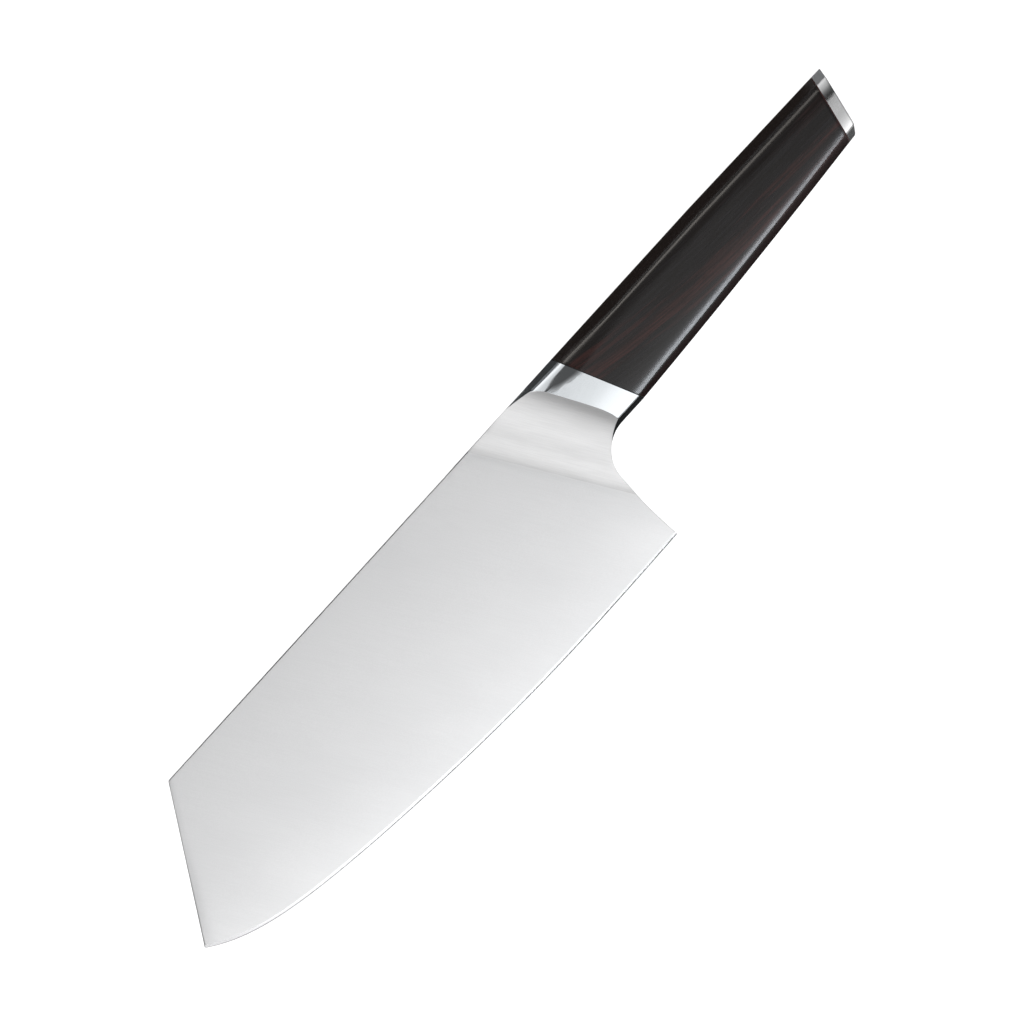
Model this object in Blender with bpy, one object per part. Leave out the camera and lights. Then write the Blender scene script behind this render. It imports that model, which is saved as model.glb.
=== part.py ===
"""Nakiri-pattern kitchen knife with a hidden tang, lying flat on its side.

The knife is built as it comes apart on a bench: a ground blade with its tang, a slotted
steel bolster that slides over the tang, a bored hardwood handle block, a threaded stud with
a washer and a nut that clamp the block against the bolster, and a steel end cap on two pins
that covers the nut.

Sizes are in metres.  X runs along the knife towards the butt, Y from the cutting edge towards
the spine, Z up.  Inside the model x is 0 at the heel of the blade, y is 0 on the spine line and
z is 0 on the middle plane of the blade.  An empty carries every piece and puts the bottom
centre of the whole knife on the world origin.
"""

import math

import bmesh
import bpy
from mathutils import Matrix, Vector

# Clearance between pieces that touch on the real knife
GAP = 0.0003

# Blade outline
BLADE_LENGTH = 0.1804          # heel to tip
SPINE_LENGTH = 0.1517          # heel to the front corner of the spine
TIP_DROP = 0.04045              # spine line down to the tip
EDGE_DROP = 0.0613              # spine line down to the lowest point of the edge
FLAT_RUN = 0.0400               # heel to that lowest point
HEEL_RISE = 0.00045             # how far the edge rises again at the heel
BELLY_RISE = 0.0135             # gentle part of the edge's rise towards the tip
BELLY_POWER = 1.87
TIP_POWER = 11.0                # the rest of the rise comes in late, just behind the tip
HEEL_STRAIGHT = 0.0118          # upright part of the heel's back, above the heel corner
CHOIL_LEAN = math.radians(6.2)  # lean of the heel's back above that part
CHOIL_RADIUS = 0.0120           # finger round between the heel's back and the bolster

# Blade grind
SPINE_THICKNESS = 0.0022        # at the heel
FRONT_THICKNESS = 0.0016        # at the front corner of the spine
EDGE_THICKNESS = 0.0005         # just above the secondary bevel
BEVEL_HEIGHT = 0.0009           # height of the secondary bevel

# Tang, ground from the same bar and left thicker than the blade
TANG_THICKNESS = 0.0030
TANG_DROP = 0.0118              # spine line down to the middle of the tang
TANG_ROOT_WIDTH = 0.0140
TANG_END_WIDTH = 0.0110
TANG_END_X = 0.0880
TANG_OVERLAP = 0.0025           # how far the thick tang reaches onto the ground blade
ROOT_DEPTH = 0.0125             # how far the blade reaches into the bolster, from the ramp's foot
STUD_NOTCH = 0.0090             # length of the notch in the tang's end that holds the stud

# Bolster
RAMP_RADIUS = 0.0351            # hollow of the ramp, as a grinding wheel leaves it
RAMP_ANGLE = math.radians(28.1)  # lean of the ramp's foot from square across the blade
RAMP_FOOT_X = -0.0234           # where the ramp's foot meets the spine
LIP = 0.0002                    # thickness of the ramp's front lip
JOINT_X = 0.0125                # bolster and wood meet here on the spine line
JOINT_ANGLE = math.radians(20.0)
SPIGOT_LENGTH = 0.0040          # boss behind the joint that registers the wood
SPIGOT_WIDTH = 0.0184
SPIGOT_THICKNESS = 0.0068

# Handle section, an octagon with crowned sides
HANDLE_THICKNESS = 0.0180
SIDE_FLAT_WIDTH = 0.0067        # flat strip down the middle of each side
SPINE_FLAT = 0.0082             # width of the upper flat
BELLY_FLAT = 0.0072             # width of the lower flat
UPPER_CHAMFER = 0.00355         # height of the upper chamfer, seen from the side
UPPER_RIDGE_THICKNESS = 0.0168  # handle thickness at the upper ridge
UPPER_SHOULDER = 0.0025         # crowned strip between the upper ridge and the flat
LOWER_CHAMFER = 0.0016
LOWER_RIDGE_THICKNESS = 0.0142

# Handle side view
BOLSTER_DEPTH = 0.0273          # spine line down to the belly at the bolster
BUTT_DEPTH = 0.0207             # the same at the butt
BELLY_START_X = 0.0220          # the belly starts to rise here
BELLY_SWELL = 0.0005            # bow of the belly between there and the butt
TOP_BEND_X = 0.0715             # the top line starts to dip here
TOP_DIP = 0.00075               # and has dipped this much at the butt

# End cap
BUTT_X = 0.1273                 # end of the cap on the spine line, before it is rounded
BUTT_ANGLE = math.radians(16.5)
CAP_THICKNESS = 0.0036
CAP_ROUND = 0.0008              # rounding of the cap's rim
CAP_HEEL_RUN = 0.0029           # the end turns away over this height above the belly
CAP_HEEL_RADIUS = 0.0037        # radius of that turn, seen from the side

# Clamp and pins
STUD_DIAMETER = 0.0040
STUD_PROUD = 0.0010             # the stud stands this far out of the nut
NUT_ACROSS_FLATS = 0.0070
NUT_THICKNESS = 0.0032
WASHER_DIAMETER = 0.0090
WASHER_THICKNESS = 0.0008
POCKET_CLEARANCE = 0.0004
BORE_CLEARANCE = 0.0005         # wood to tang and wood to stud, filled with glue on the real knife
PIN_DIAMETER = 0.0020
PIN_IN_CAP = 0.0022
PIN_IN_WOOD = 0.0058
UPPER_PIN_DROP = 0.0044         # spine line down to the upper pin
LOWER_PIN_DROP = 0.0188

# Mesh fineness
EDGE_STEPS = 48
ROW_STEPS = 6
CHOIL_STEPS = 12
CROWN_STEPS = 4
BLOCK_STEPS = 12
ROUND_STEPS = 3
RAMP_SIDES = 144
ROD_SIDES = 24
CUT_MARGIN = 0.0020             # how far a cutter reaches past what it cuts


def clear_scene():
    """Remove every object that the scene starts with."""
    for old in list(bpy.data.objects):
        bpy.data.objects.remove(old, do_unlink=True)


def make_material(name, color, metallic, roughness):
    """Principled material with the given colour, metallic value and roughness."""
    material = bpy.data.materials.new(name)
    material.use_nodes = True
    shader = material.node_tree.nodes["Principled BSDF"]
    shader.inputs["Base Color"].default_value = (*color, 1.0)
    shader.inputs["Metallic"].default_value = metallic
    shader.inputs["Roughness"].default_value = roughness
    return material


def mesh_object(name, bm, parent, material=None):
    """Turn a bmesh into an object with outward faces, carried by the parent."""
    bmesh.ops.recalc_face_normals(bm, faces=bm.faces)
    mesh = bpy.data.meshes.new(name)
    bm.to_mesh(mesh)
    bm.free()
    piece = bpy.data.objects.new(name, mesh)
    bpy.context.scene.collection.objects.link(piece)
    piece.parent = parent
    if material is not None:
        mesh.materials.append(material)
    return piece


def shade(piece):
    """Smooth shading that keeps the edges sharper than 20 degrees."""
    piece.data.shade_smooth()
    piece.data.set_sharp_from_angle(angle=math.radians(20.0))


def apply_tool(target, tool, operation):
    """Join a hidden tool body to the target, or cut it away."""
    tool.hide_render = True
    tool.display_type = 'WIRE'
    modifier = target.modifiers.new(tool.name, 'BOOLEAN')
    modifier.object = tool
    modifier.operation = operation
    modifier.solver = 'EXACT'


def loft(name, rings, parent, material=None):
    """Skin a row of closed rings of equal length and cap both ends."""
    bm = bmesh.new()
    rows = [[bm.verts.new(point) for point in ring] for ring in rings]
    for low, high in zip(rows, rows[1:]):
        for i, corner in enumerate(low):
            j = (i + 1) % len(low)
            bm.faces.new((corner, low[j], high[j], high[i]))
    bm.faces.new(rows[0])
    bm.faces.new(rows[-1])
    return mesh_object(name, bm, parent, material)


def prism(name, outline, half_height, parent, material=None):
    """Plate of the given outline, as thick above the middle plane as below it."""
    rings = [[(x, y, z) for x, y in outline] for z in (-half_height, half_height)]
    return loft(name, rings, parent, material)


def rod(name, radius, start_x, end_x, drop, parent, material=None, sides=ROD_SIDES):
    """Round or hexagonal rod along X at the given drop below the spine line."""
    bm = bmesh.new()
    place = Matrix.Translation(((start_x + end_x) / 2, -drop, 0.0))
    turn = Matrix.Rotation(math.radians(90.0), 4, 'Y')
    bmesh.ops.create_cone(bm, cap_ends=True, segments=sides, radius1=radius, radius2=radius,
                          depth=end_x - start_x, matrix=place @ turn)
    return mesh_object(name, bm, parent, material)


def edge_y(x):
    """Cutting edge: nearly flat from the heel, then a belly that sweeps up to the tip."""
    if x > -FLAT_RUN:
        return -EDGE_DROP + HEEL_RISE * ((x + FLAT_RUN) / FLAT_RUN) ** 2
    t = (-FLAT_RUN - x) / (BLADE_LENGTH - FLAT_RUN)
    tip_rise = EDGE_DROP - TIP_DROP - BELLY_RISE
    return -EDGE_DROP + BELLY_RISE * t ** BELLY_POWER + tip_rise * t ** TIP_POWER


def blade_half(x, y):
    """Half thickness of the ground blade: it thins towards the front and towards the edge."""
    along = -x / SPINE_LENGTH
    spine = (SPINE_THICKNESS + (FRONT_THICKNESS - SPINE_THICKNESS) * along) / 2
    down = y / edge_y(min(x, 0.0))
    return spine + (EDGE_THICKNESS / 2 - spine) * down


def behind_foot(distance, y):
    """x of a line that runs beside the ramp's foot, the given distance behind it."""
    return RAMP_FOOT_X + distance / math.cos(RAMP_ANGLE) - y * math.tan(RAMP_ANGLE)


def choil_point(angle, rise=0.0):
    """Point of the finger round, which touches the leaning heel and the belly line."""
    lean_start = edge_y(0.0) + HEEL_STRAIGHT
    center_y = -BOLSTER_DEPTH - CHOIL_RADIUS
    center_x = CHOIL_RADIUS / math.cos(CHOIL_LEAN) + (center_y - lean_start) * math.tan(CHOIL_LEAN)
    radius = CHOIL_RADIUS + rise
    return center_x + radius * math.cos(angle), center_y + radius * math.sin(angle)


def choil_angle_at(distance, rise=0.0):
    """Angle at which the finger round meets the line that far behind the ramp's foot."""
    low = math.pi / 2
    high = math.pi - CHOIL_LEAN
    for _ in range(40):
        middle = (low + high) / 2
        x, y = choil_point(middle, rise)
        if x > behind_foot(distance, y):
            low = middle
        else:
            high = middle
    return low


def blade_stations():
    """Lines across the blade as (spine x, lower x, lower y, on the edge), front to back."""
    slope = math.tan(RAMP_ANGLE)
    heel_y = edge_y(0.0)
    heel_top = heel_y * slope
    stations = []
    for i in range(EDGE_STEPS + 1):
        t = (i / EDGE_STEPS) ** 1.4
        x = -BLADE_LENGTH * (1 - t)
        stations.append((-SPINE_LENGTH + (SPINE_LENGTH + heel_top) * t, x, edge_y(x), True))
    back = [(0.0, heel_y + BEVEL_HEIGHT), (0.0, heel_y + HEEL_STRAIGHT)]
    first = math.pi - CHOIL_LEAN
    last = choil_angle_at(ROOT_DEPTH)
    back += [choil_point(first + (last - first) * k / CHOIL_STEPS) for k in range(CHOIL_STEPS + 1)]
    stations += [(x + y * slope, x, y, False) for x, y in back]
    return stations


def blade_grid():
    """Points of the blade's upper side, one row of points for each line across it."""
    grid = []
    for spine_x, low_x, low_y, on_edge in blade_stations():
        bevel_top = 1 + BEVEL_HEIGHT / low_y
        row = []
        for k in range(ROW_STEPS + 1):
            share = bevel_top * k / ROW_STEPS
            x = spine_x + (low_x - spine_x) * share
            row.append((x, low_y * share, blade_half(x, low_y * share)))
        row.append((low_x, low_y, 0.0 if on_edge else blade_half(low_x, low_y)))
        grid.append(row)
    return grid


def mirrored_plate(name, grid, parent, material=None):
    """Solid between a grid of points and its mirror image below, closed round its border."""
    bm = bmesh.new()
    upper = [[bm.verts.new(point) for point in row] for row in grid]
    lower = [[vert if vert.co.z == 0.0 else bm.verts.new((vert.co.x, vert.co.y, -vert.co.z))
              for vert in row] for row in upper]
    rows = len(grid)
    columns = len(grid[0])
    for side in (upper, lower):
        for i in range(rows - 1):
            for j in range(columns - 1):
                bm.faces.new((side[i][j], side[i + 1][j], side[i + 1][j + 1], side[i][j + 1]))
    border = [(i, 0) for i in range(rows)]
    border += [(rows - 1, j) for j in range(1, columns)]
    border += [(i, columns - 1) for i in range(rows - 2, -1, -1)]
    border += [(0, j) for j in range(columns - 2, 0, -1)]
    for (a, b), (c, d) in zip(border, border[1:] + border[:1]):
        corners = [upper[a][b], upper[c][d], lower[c][d], lower[a][b]]
        corners = list(dict.fromkeys(corners))
        if len(corners) > 2:
            bm.faces.new(corners)
    return mesh_object(name, bm, parent, material)


def tang_outline(clearance, end_x):
    """Tapered tang that starts on the blade's root, grown on every side by the clearance."""
    front = ROOT_DEPTH - TANG_OVERLAP - clearance
    root = TANG_ROOT_WIDTH / 2 + clearance
    end = TANG_END_WIDTH / 2 + clearance
    high = -TANG_DROP + root
    low = -TANG_DROP - root
    return [(behind_foot(front, high), high), (end_x, -TANG_DROP + end),
            (end_x, -TANG_DROP - end), (behind_foot(front, low), low)]


def joint_x(y):
    """Rear face of the bolster: a plane that leans back towards the belly."""
    return JOINT_X - y * math.tan(JOINT_ANGLE)


def cap_x(depth, y):
    """Plane beside the end of the cap, the given distance in front of it."""
    return BUTT_X - depth / math.cos(BUTT_ANGLE) + y * math.tan(BUTT_ANGLE)


def cap_plane(depth):
    """Cutting plane across the cap, the given distance in front of its end."""
    return lambda y: cap_x(depth, y)


def cap_end(depth):
    """Curved end of the cap: the plane of its end, turned away above the belly."""
    def surface(y):
        x = cap_x(depth, y)
        turned = min(max(belly_y(x) + CAP_HEEL_RUN - y, 0.0), CAP_HEEL_RUN)
        return x - turned ** 2 / (2 * CAP_HEEL_RADIUS)
    return surface


def block_plane(share):
    """Cutting plane across the handle block, from its front at 0 to its rear at 1."""
    def plane(y):
        front = joint_x(y) + GAP
        rear = cap_x(CAP_THICKNESS, y) - GAP
        return front + (rear - front) * share
    return plane


def top_y(x):
    """Upper outline of the handle, in line with the spine and dipping slightly at the butt."""
    return -TOP_DIP * max(0.0, (x - TOP_BEND_X) / (BUTT_X - TOP_BEND_X))


def belly_y(x):
    """Lower outline of the handle: level at the bolster, then rising in a slight bow."""
    u = max(0.0, (x - BELLY_START_X) / (BUTT_X - BELLY_START_X))
    return -BOLSTER_DEPTH + (BOLSTER_DEPTH - BUTT_DEPTH) * u - 4 * BELLY_SWELL * u * (1 - u)


def facet_inset(z, flat, chamfer, ridge_thickness, shoulder):
    """How far the surface lies inside its outline at height z: a flat, a chamfer, a crown."""
    half = HANDLE_THICKNESS / 2
    ridge = ridge_thickness / 2
    if z <= flat / 2:
        return 0.0
    if z <= ridge:
        return chamfer * (z - flat / 2) / (ridge - flat / 2)
    return chamfer + shoulder * (1 - math.sqrt(max(0.0, half - z) / (half - ridge)))


def section_heights():
    """Heights at which the handle's section has a corner, from the flats to the side."""
    half = HANDLE_THICKNESS / 2
    lower_ridge = LOWER_RIDGE_THICKNESS / 2
    heights = {SPINE_FLAT / 2, BELLY_FLAT / 2, UPPER_RIDGE_THICKNESS / 2}
    for k in range(CROWN_STEPS + 1):
        heights.add(half - (half - lower_ridge) * (1 - k / CROWN_STEPS) ** 2)
    return sorted(heights)


def section_insets(z, depth):
    """Insets from the top and the belly of the handle at height z."""
    shoulder = depth - UPPER_CHAMFER - UPPER_SHOULDER - SIDE_FLAT_WIDTH - LOWER_CHAMFER
    upper = facet_inset(z, SPINE_FLAT, UPPER_CHAMFER, UPPER_RIDGE_THICKNESS, UPPER_SHOULDER)
    lower = facet_inset(z, BELLY_FLAT, LOWER_CHAMFER, LOWER_RIDGE_THICKNESS, shoulder)
    return upper, lower


def handle_ring(plane, inset=0.0):
    """Section of the handle where the plane x = plane(y) cuts it, shrunk by the inset."""
    half = HANDLE_THICKNESS / 2
    upper_side = []
    lower_side = []
    for z in section_heights():
        for side, points in ((0, upper_side), (1, lower_side)):
            y = 0.0
            for _ in range(6):
                x = plane(y)
                upper, lower = section_insets(z, top_y(x) - belly_y(x))
                y = (top_y(x) - upper - inset) if side == 0 else (belly_y(x) + lower + inset)
            points.append((plane(y), y, z * (1 - inset / half)))
    half_ring = upper_side + lower_side[::-1]
    return half_ring + [(x, y, -z) for x, y, z in reversed(half_ring)]


def build_blade(parent, steel):
    """Blade, ground thin towards the edge and the front, with its tang and the stud's notch."""
    blade = mirrored_plate("blade", blade_grid(), parent, steel)
    tang = prism("tang_bar", tang_outline(0.0, TANG_END_X), TANG_THICKNESS / 2, parent)
    apply_tool(blade, tang, 'UNION')
    half = STUD_DIAMETER / 2 + GAP
    notch = [(TANG_END_X - STUD_NOTCH, half - TANG_DROP), (TANG_END_X + CUT_MARGIN, half - TANG_DROP),
             (TANG_END_X + CUT_MARGIN, -half - TANG_DROP),
             (TANG_END_X - STUD_NOTCH, -half - TANG_DROP)]
    apply_tool(blade, prism("stud_notch_cutter", notch, TANG_THICKNESS, parent), 'DIFFERENCE')
    shade(blade)
    return blade


def bolster_outline(z, lip_distance):
    """Side outline of the bolster at height z, from the ramp's lip round to the choil."""
    upper, lower = section_insets(z, BOLSTER_DEPTH)
    belly = -BOLSTER_DEPTH + lower
    outline = [(behind_foot(lip_distance, -upper), -upper), (joint_x(-upper), -upper),
               (joint_x(belly), belly)]
    last = choil_angle_at(lip_distance, lower)
    for k in range(CHOIL_STEPS + 1):
        angle = math.pi / 2 + (last - math.pi / 2) * k / CHOIL_STEPS
        outline.append(choil_point(angle, lower))
    return outline


def ramp_cutter(side, parent):
    """Grinding wheel that leaves the hollow ramp on one side of the bolster."""
    ends = []
    for y in (0.0, -EDGE_DROP):
        x = behind_foot(0.0, y)
        ends.append(Vector((x, y, side * (blade_half(x, y) + RAMP_RADIUS))))
    axis = ends[1] - ends[0]
    turn = axis.to_track_quat('Z', 'Y').to_matrix().to_4x4()
    place = Matrix.Translation((ends[0] + ends[1]) / 2)
    bm = bmesh.new()
    bmesh.ops.create_cone(bm, cap_ends=True, segments=RAMP_SIDES, radius1=RAMP_RADIUS,
                          radius2=RAMP_RADIUS, depth=2 * axis.length, matrix=place @ turn)
    name = "upper_ramp_cutter" if side > 0 else "lower_ramp_cutter"
    return mesh_object(name, bm, parent)


def root_slot_cutter(parent):
    """Slot that takes the blade's root: the blade's own wedge, grown by the gap."""
    grid = []
    for distance in (0.0, ROOT_DEPTH / 2, ROOT_DEPTH + GAP):
        row = []
        for k in range(ROW_STEPS + 1):
            y = CUT_MARGIN - (EDGE_DROP + CUT_MARGIN) * k / ROW_STEPS
            x = behind_foot(distance, y)
            row.append((x, y, blade_half(x, y) + GAP))
        grid.append(row)
    return mirrored_plate("root_slot_cutter", grid, parent)


def spigot_outline(clearance):
    """Boss behind the bolster's rear face, grown by the clearance."""
    half = SPIGOT_WIDTH / 2 + clearance
    high = -TANG_DROP + half
    low = -TANG_DROP - half
    reach = SPIGOT_LENGTH + clearance
    return [(joint_x(high) - CUT_MARGIN, high), (joint_x(high) + reach, high),
            (joint_x(low) + reach, low), (joint_x(low) - CUT_MARGIN, low)]


def build_bolster(parent, steel):
    """Bolster: an octagonal collar with a hollow ramp on each side, slotted for the blade."""
    rise = GAP + LIP
    lip_distance = math.sqrt(2 * RAMP_RADIUS * rise - rise ** 2)
    heights = section_heights()
    rings = [[(x, y, z) for x, y in bolster_outline(abs(z), lip_distance)]
             for z in [-z for z in reversed(heights)] + heights]
    bolster = loft("bolster", rings, parent, steel)
    for side in (1, -1):
        apply_tool(bolster, ramp_cutter(side, parent), 'DIFFERENCE')
    spigot = prism("spigot_boss", spigot_outline(0.0), SPIGOT_THICKNESS / 2, parent)
    apply_tool(bolster, spigot, 'UNION')
    apply_tool(bolster, root_slot_cutter(parent), 'DIFFERENCE')
    mortise_end = joint_x(-BOLSTER_DEPTH) + SPIGOT_LENGTH + CUT_MARGIN
    mortise = prism("tang_mortise_cutter", mortise_outline(mortise_end),
                    TANG_THICKNESS / 2 + GAP, parent)
    apply_tool(bolster, mortise, 'DIFFERENCE')
    shade(bolster)
    return bolster


def mortise_outline(end_x):
    """Opening through the bolster for the tang: its front part with the gap, run on straight."""
    front = ROOT_DEPTH - TANG_OVERLAP - GAP
    half = TANG_ROOT_WIDTH / 2 + GAP
    high = -TANG_DROP + half
    low = -TANG_DROP - half
    return [(behind_foot(front, high), high), (end_x, high), (end_x, low),
            (behind_foot(front, low), low)]


def pocket_floor_x():
    """Bottom of the nut's pocket: it keeps the stud's end just under the cap everywhere."""
    lowest = -TANG_DROP - WASHER_DIAMETER / 2 - POCKET_CLEARANCE
    mouth = cap_x(CAP_THICKNESS, lowest) - GAP
    return mouth - STUD_PROUD - NUT_THICKNESS - WASHER_THICKNESS - 2 * GAP


def build_handle_block(parent, wood):
    """Hardwood block, bored for the tang, the stud, the nut, the spigot and the cap's pins."""
    rings = [handle_ring(block_plane(k / BLOCK_STEPS)) for k in range(BLOCK_STEPS + 1)]
    block = loft("handle_block", rings, parent, wood)
    slot = tang_outline(BORE_CLEARANCE, TANG_END_X + BORE_CLEARANCE)
    front = joint_x(0.0) - CUT_MARGIN
    slot[0] = (front, slot[0][1])
    slot[3] = (front, slot[3][1])
    slot_cutter = prism("tang_slot_cutter", slot, TANG_THICKNESS / 2 + BORE_CLEARANCE, parent)
    apply_tool(block, slot_cutter, 'DIFFERENCE')
    recess = prism("spigot_recess_cutter", spigot_outline(GAP), SPIGOT_THICKNESS / 2 + GAP, parent)
    apply_tool(block, recess, 'DIFFERENCE')
    past_butt = BUTT_X + CUT_MARGIN
    bore = rod("stud_bore_cutter", STUD_DIAMETER / 2 + BORE_CLEARANCE, TANG_END_X - CUT_MARGIN,
               past_butt, TANG_DROP, parent)
    apply_tool(block, bore, 'DIFFERENCE')
    pocket = rod("nut_pocket_cutter", WASHER_DIAMETER / 2 + POCKET_CLEARANCE,
                 pocket_floor_x() - GAP, past_butt, TANG_DROP, parent, sides=36)
    apply_tool(block, pocket, 'DIFFERENCE')
    for name, drop in pin_places():
        mouth = cap_x(CAP_THICKNESS, -drop)
        hole = rod(name + "_wood_cutter", PIN_DIAMETER / 2 + GAP, mouth - PIN_IN_WOOD - GAP,
                   past_butt, drop, parent)
        apply_tool(block, hole, 'DIFFERENCE')
    shade(block)
    return block


def pin_places():
    """Name of each cap pin and its drop below the spine line."""
    return (("cap_pin_upper", UPPER_PIN_DROP), ("cap_pin_lower", LOWER_PIN_DROP))


def build_end_cap(parent, steel):
    """End cap: a plate that carries on the handle's section, with a rounded rim."""
    rings = [handle_ring(cap_plane(CAP_THICKNESS))]
    for k in range(ROUND_STEPS + 1):
        angle = math.pi / 2 * k / ROUND_STEPS
        rings.append(handle_ring(cap_end(CAP_ROUND * (1 - math.sin(angle))),
                                 CAP_ROUND * (1 - math.cos(angle))))
    cap = loft("end_cap", rings, parent, steel)
    for name, drop in pin_places():
        mouth = cap_x(CAP_THICKNESS, -drop)
        hole = rod(name + "_cap_cutter", PIN_DIAMETER / 2 + GAP, mouth - CUT_MARGIN,
                   mouth + PIN_IN_CAP + GAP, drop, parent)
        apply_tool(cap, hole, 'DIFFERENCE')
    shade(cap)
    return cap


def build_cap_pins(parent, steel):
    """Two dowel pins that key the cap to the wood."""
    pins = []
    for name, drop in pin_places():
        mouth = cap_x(CAP_THICKNESS, -drop)
        pin = rod(name, PIN_DIAMETER / 2, mouth - PIN_IN_WOOD, mouth + PIN_IN_CAP, drop, parent,
                  steel)
        shade(pin)
        pins.append(pin)
    return pins


def build_clamp(parent, steel):
    """Stud in the tang's notch, with the washer and the nut in the pocket under the cap."""
    washer_x = pocket_floor_x()
    nut_x = washer_x + WASHER_THICKNESS + GAP
    nut_end = nut_x + NUT_THICKNESS
    stud = rod("tang_stud", STUD_DIAMETER / 2, TANG_END_X - STUD_NOTCH + GAP,
               nut_end + STUD_PROUD, TANG_DROP, parent, steel)
    washer = rod("clamp_washer", WASHER_DIAMETER / 2, washer_x, washer_x + WASHER_THICKNESS,
                 TANG_DROP, parent, steel, sides=36)
    nut = rod("clamp_nut", NUT_ACROSS_FLATS / math.sqrt(3.0), nut_x, nut_end, TANG_DROP, parent,
              steel, sides=6)
    for piece in (washer, nut):
        hole = rod(piece.name + "_bore_cutter", STUD_DIAMETER / 2 + GAP, washer_x - CUT_MARGIN,
                   nut_end + CUT_MARGIN, TANG_DROP, parent)
        apply_tool(piece, hole, 'DIFFERENCE')
    for piece in (stud, washer, nut):
        shade(piece)
    return [stud, washer, nut]


def stand_on_origin(carrier, pieces):
    """Move the carrier so that the bottom centre of the pieces lies on the world origin."""
    bpy.context.view_layer.update()
    graph = bpy.context.evaluated_depsgraph_get()
    corners = []
    for piece in pieces:
        solid = piece.evaluated_get(graph)
        corners += [solid.matrix_world @ Vector(corner) for corner in solid.bound_box]
    lows = [min(corner[axis] for corner in corners) for axis in range(3)]
    highs = [max(corner[axis] for corner in corners) for axis in range(3)]
    carrier.location = (-(lows[0] + highs[0]) / 2, -(lows[1] + highs[1]) / 2, -lows[2])
    bpy.context.view_layer.update()


def main():
    """Build the knife piece by piece and stand it on the origin."""
    clear_scene()
    carrier = bpy.data.objects.new("knife_carrier", None)
    bpy.context.scene.collection.objects.link(carrier)
    blade_steel = make_material("satin_blade_steel", (0.78, 0.78, 0.79), 1.0, 0.32)
    bolster_steel = make_material("polished_bolster_steel", (0.80, 0.80, 0.81), 1.0, 0.10)
    cap_steel = make_material("polished_cap_steel", (0.78, 0.78, 0.79), 1.0, 0.12)
    zinc = make_material("plain_hardware_steel", (0.55, 0.55, 0.56), 1.0, 0.40)
    ebony = make_material("oiled_ebony", (0.035, 0.022, 0.020), 0.0, 0.30)
    pieces = [build_blade(carrier, blade_steel), build_bolster(carrier, bolster_steel),
              build_handle_block(carrier, ebony), build_end_cap(carrier, cap_steel)]
    pieces += build_clamp(carrier, zinc)
    pieces += build_cap_pins(carrier, zinc)
    stand_on_origin(carrier, pieces)


main()
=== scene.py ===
"""Looks of a nakiri-pattern kitchen knife with an ebony handle, lying flat on its side.

Every new piece is a row of rounded sections worked out with numpy.  Sizes are in metres.  In the
piece's own plan, x is 0 at the heel and grows towards the butt, y is 0 on the spine line and falls
towards the cutting edge, and z is 0 on the middle plane of the blade.
"""

import logging
import math
from collections.abc import Callable, Sequence
from dataclasses import dataclass, field
from enum import Enum
from functools import partial

import bmesh
import bpy
import numpy as np
from mathutils import Euler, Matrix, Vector


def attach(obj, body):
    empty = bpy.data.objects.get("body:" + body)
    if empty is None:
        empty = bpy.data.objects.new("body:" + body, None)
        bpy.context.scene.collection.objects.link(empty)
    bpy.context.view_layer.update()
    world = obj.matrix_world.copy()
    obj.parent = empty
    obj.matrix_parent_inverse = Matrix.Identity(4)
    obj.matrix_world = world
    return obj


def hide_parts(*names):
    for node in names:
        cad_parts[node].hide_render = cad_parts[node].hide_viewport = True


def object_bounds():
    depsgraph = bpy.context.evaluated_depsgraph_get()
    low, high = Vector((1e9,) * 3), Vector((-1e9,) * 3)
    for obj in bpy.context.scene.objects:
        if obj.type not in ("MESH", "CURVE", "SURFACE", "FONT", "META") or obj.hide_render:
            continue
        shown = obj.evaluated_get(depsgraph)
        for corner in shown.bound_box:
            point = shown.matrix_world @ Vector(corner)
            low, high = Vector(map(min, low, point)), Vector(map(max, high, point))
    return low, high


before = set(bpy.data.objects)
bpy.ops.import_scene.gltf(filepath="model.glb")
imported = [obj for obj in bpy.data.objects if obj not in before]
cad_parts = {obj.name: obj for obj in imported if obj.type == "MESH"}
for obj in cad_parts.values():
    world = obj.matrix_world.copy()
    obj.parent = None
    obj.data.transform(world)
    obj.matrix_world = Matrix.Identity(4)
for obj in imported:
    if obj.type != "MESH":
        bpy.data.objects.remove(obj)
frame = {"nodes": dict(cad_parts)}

LOG = logging.getLogger("knife")
MM = 0.001
CAD_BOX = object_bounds()
MIRROR = np.array([1.0, 1.0, -1.0])
SHARP_ANGLE = math.radians(34.0)
MERGE_DISTANCE = 2e-7
CRISP = 0.3 * MM  # half width of the widest rounding window away from the corners
SHORTEST_WINDOW = 2e-6  # half width of the narrowest window
CLUSTER = np.array([0.0, 0.25, 0.5, 0.75])  # points beside a corner, as shares of its rounding
WALL_STRIPS = 4  # strips of an end that its flat wall takes up, on either side of the middle
WALL_SHARE = 0.85  # greatest share of a wall's half width that the rounding beside it takes
GUARD = 1e-9  # keeps a rounding of nothing from being divided by
TINY = 1e-12  # the same for a step of nothing, and for two marks in one place
ALL_BUT_CAP = ("knife_blade", "steel_bolster", "ebony_handle_block")
ALL_BUT_BOLSTER = ("knife_blade", "ebony_handle_block", "steel_end_cap")
ALL_BUT_BLADE = ("steel_bolster", "ebony_handle_block", "steel_end_cap")
COLLAR_AND_CAP = ("steel_bolster", "steel_end_cap")


class Border(Enum):
    """What a line across the blade ends on."""

    EDGE = "cutting edge"
    BACK = "heel's back or finger round"


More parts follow.
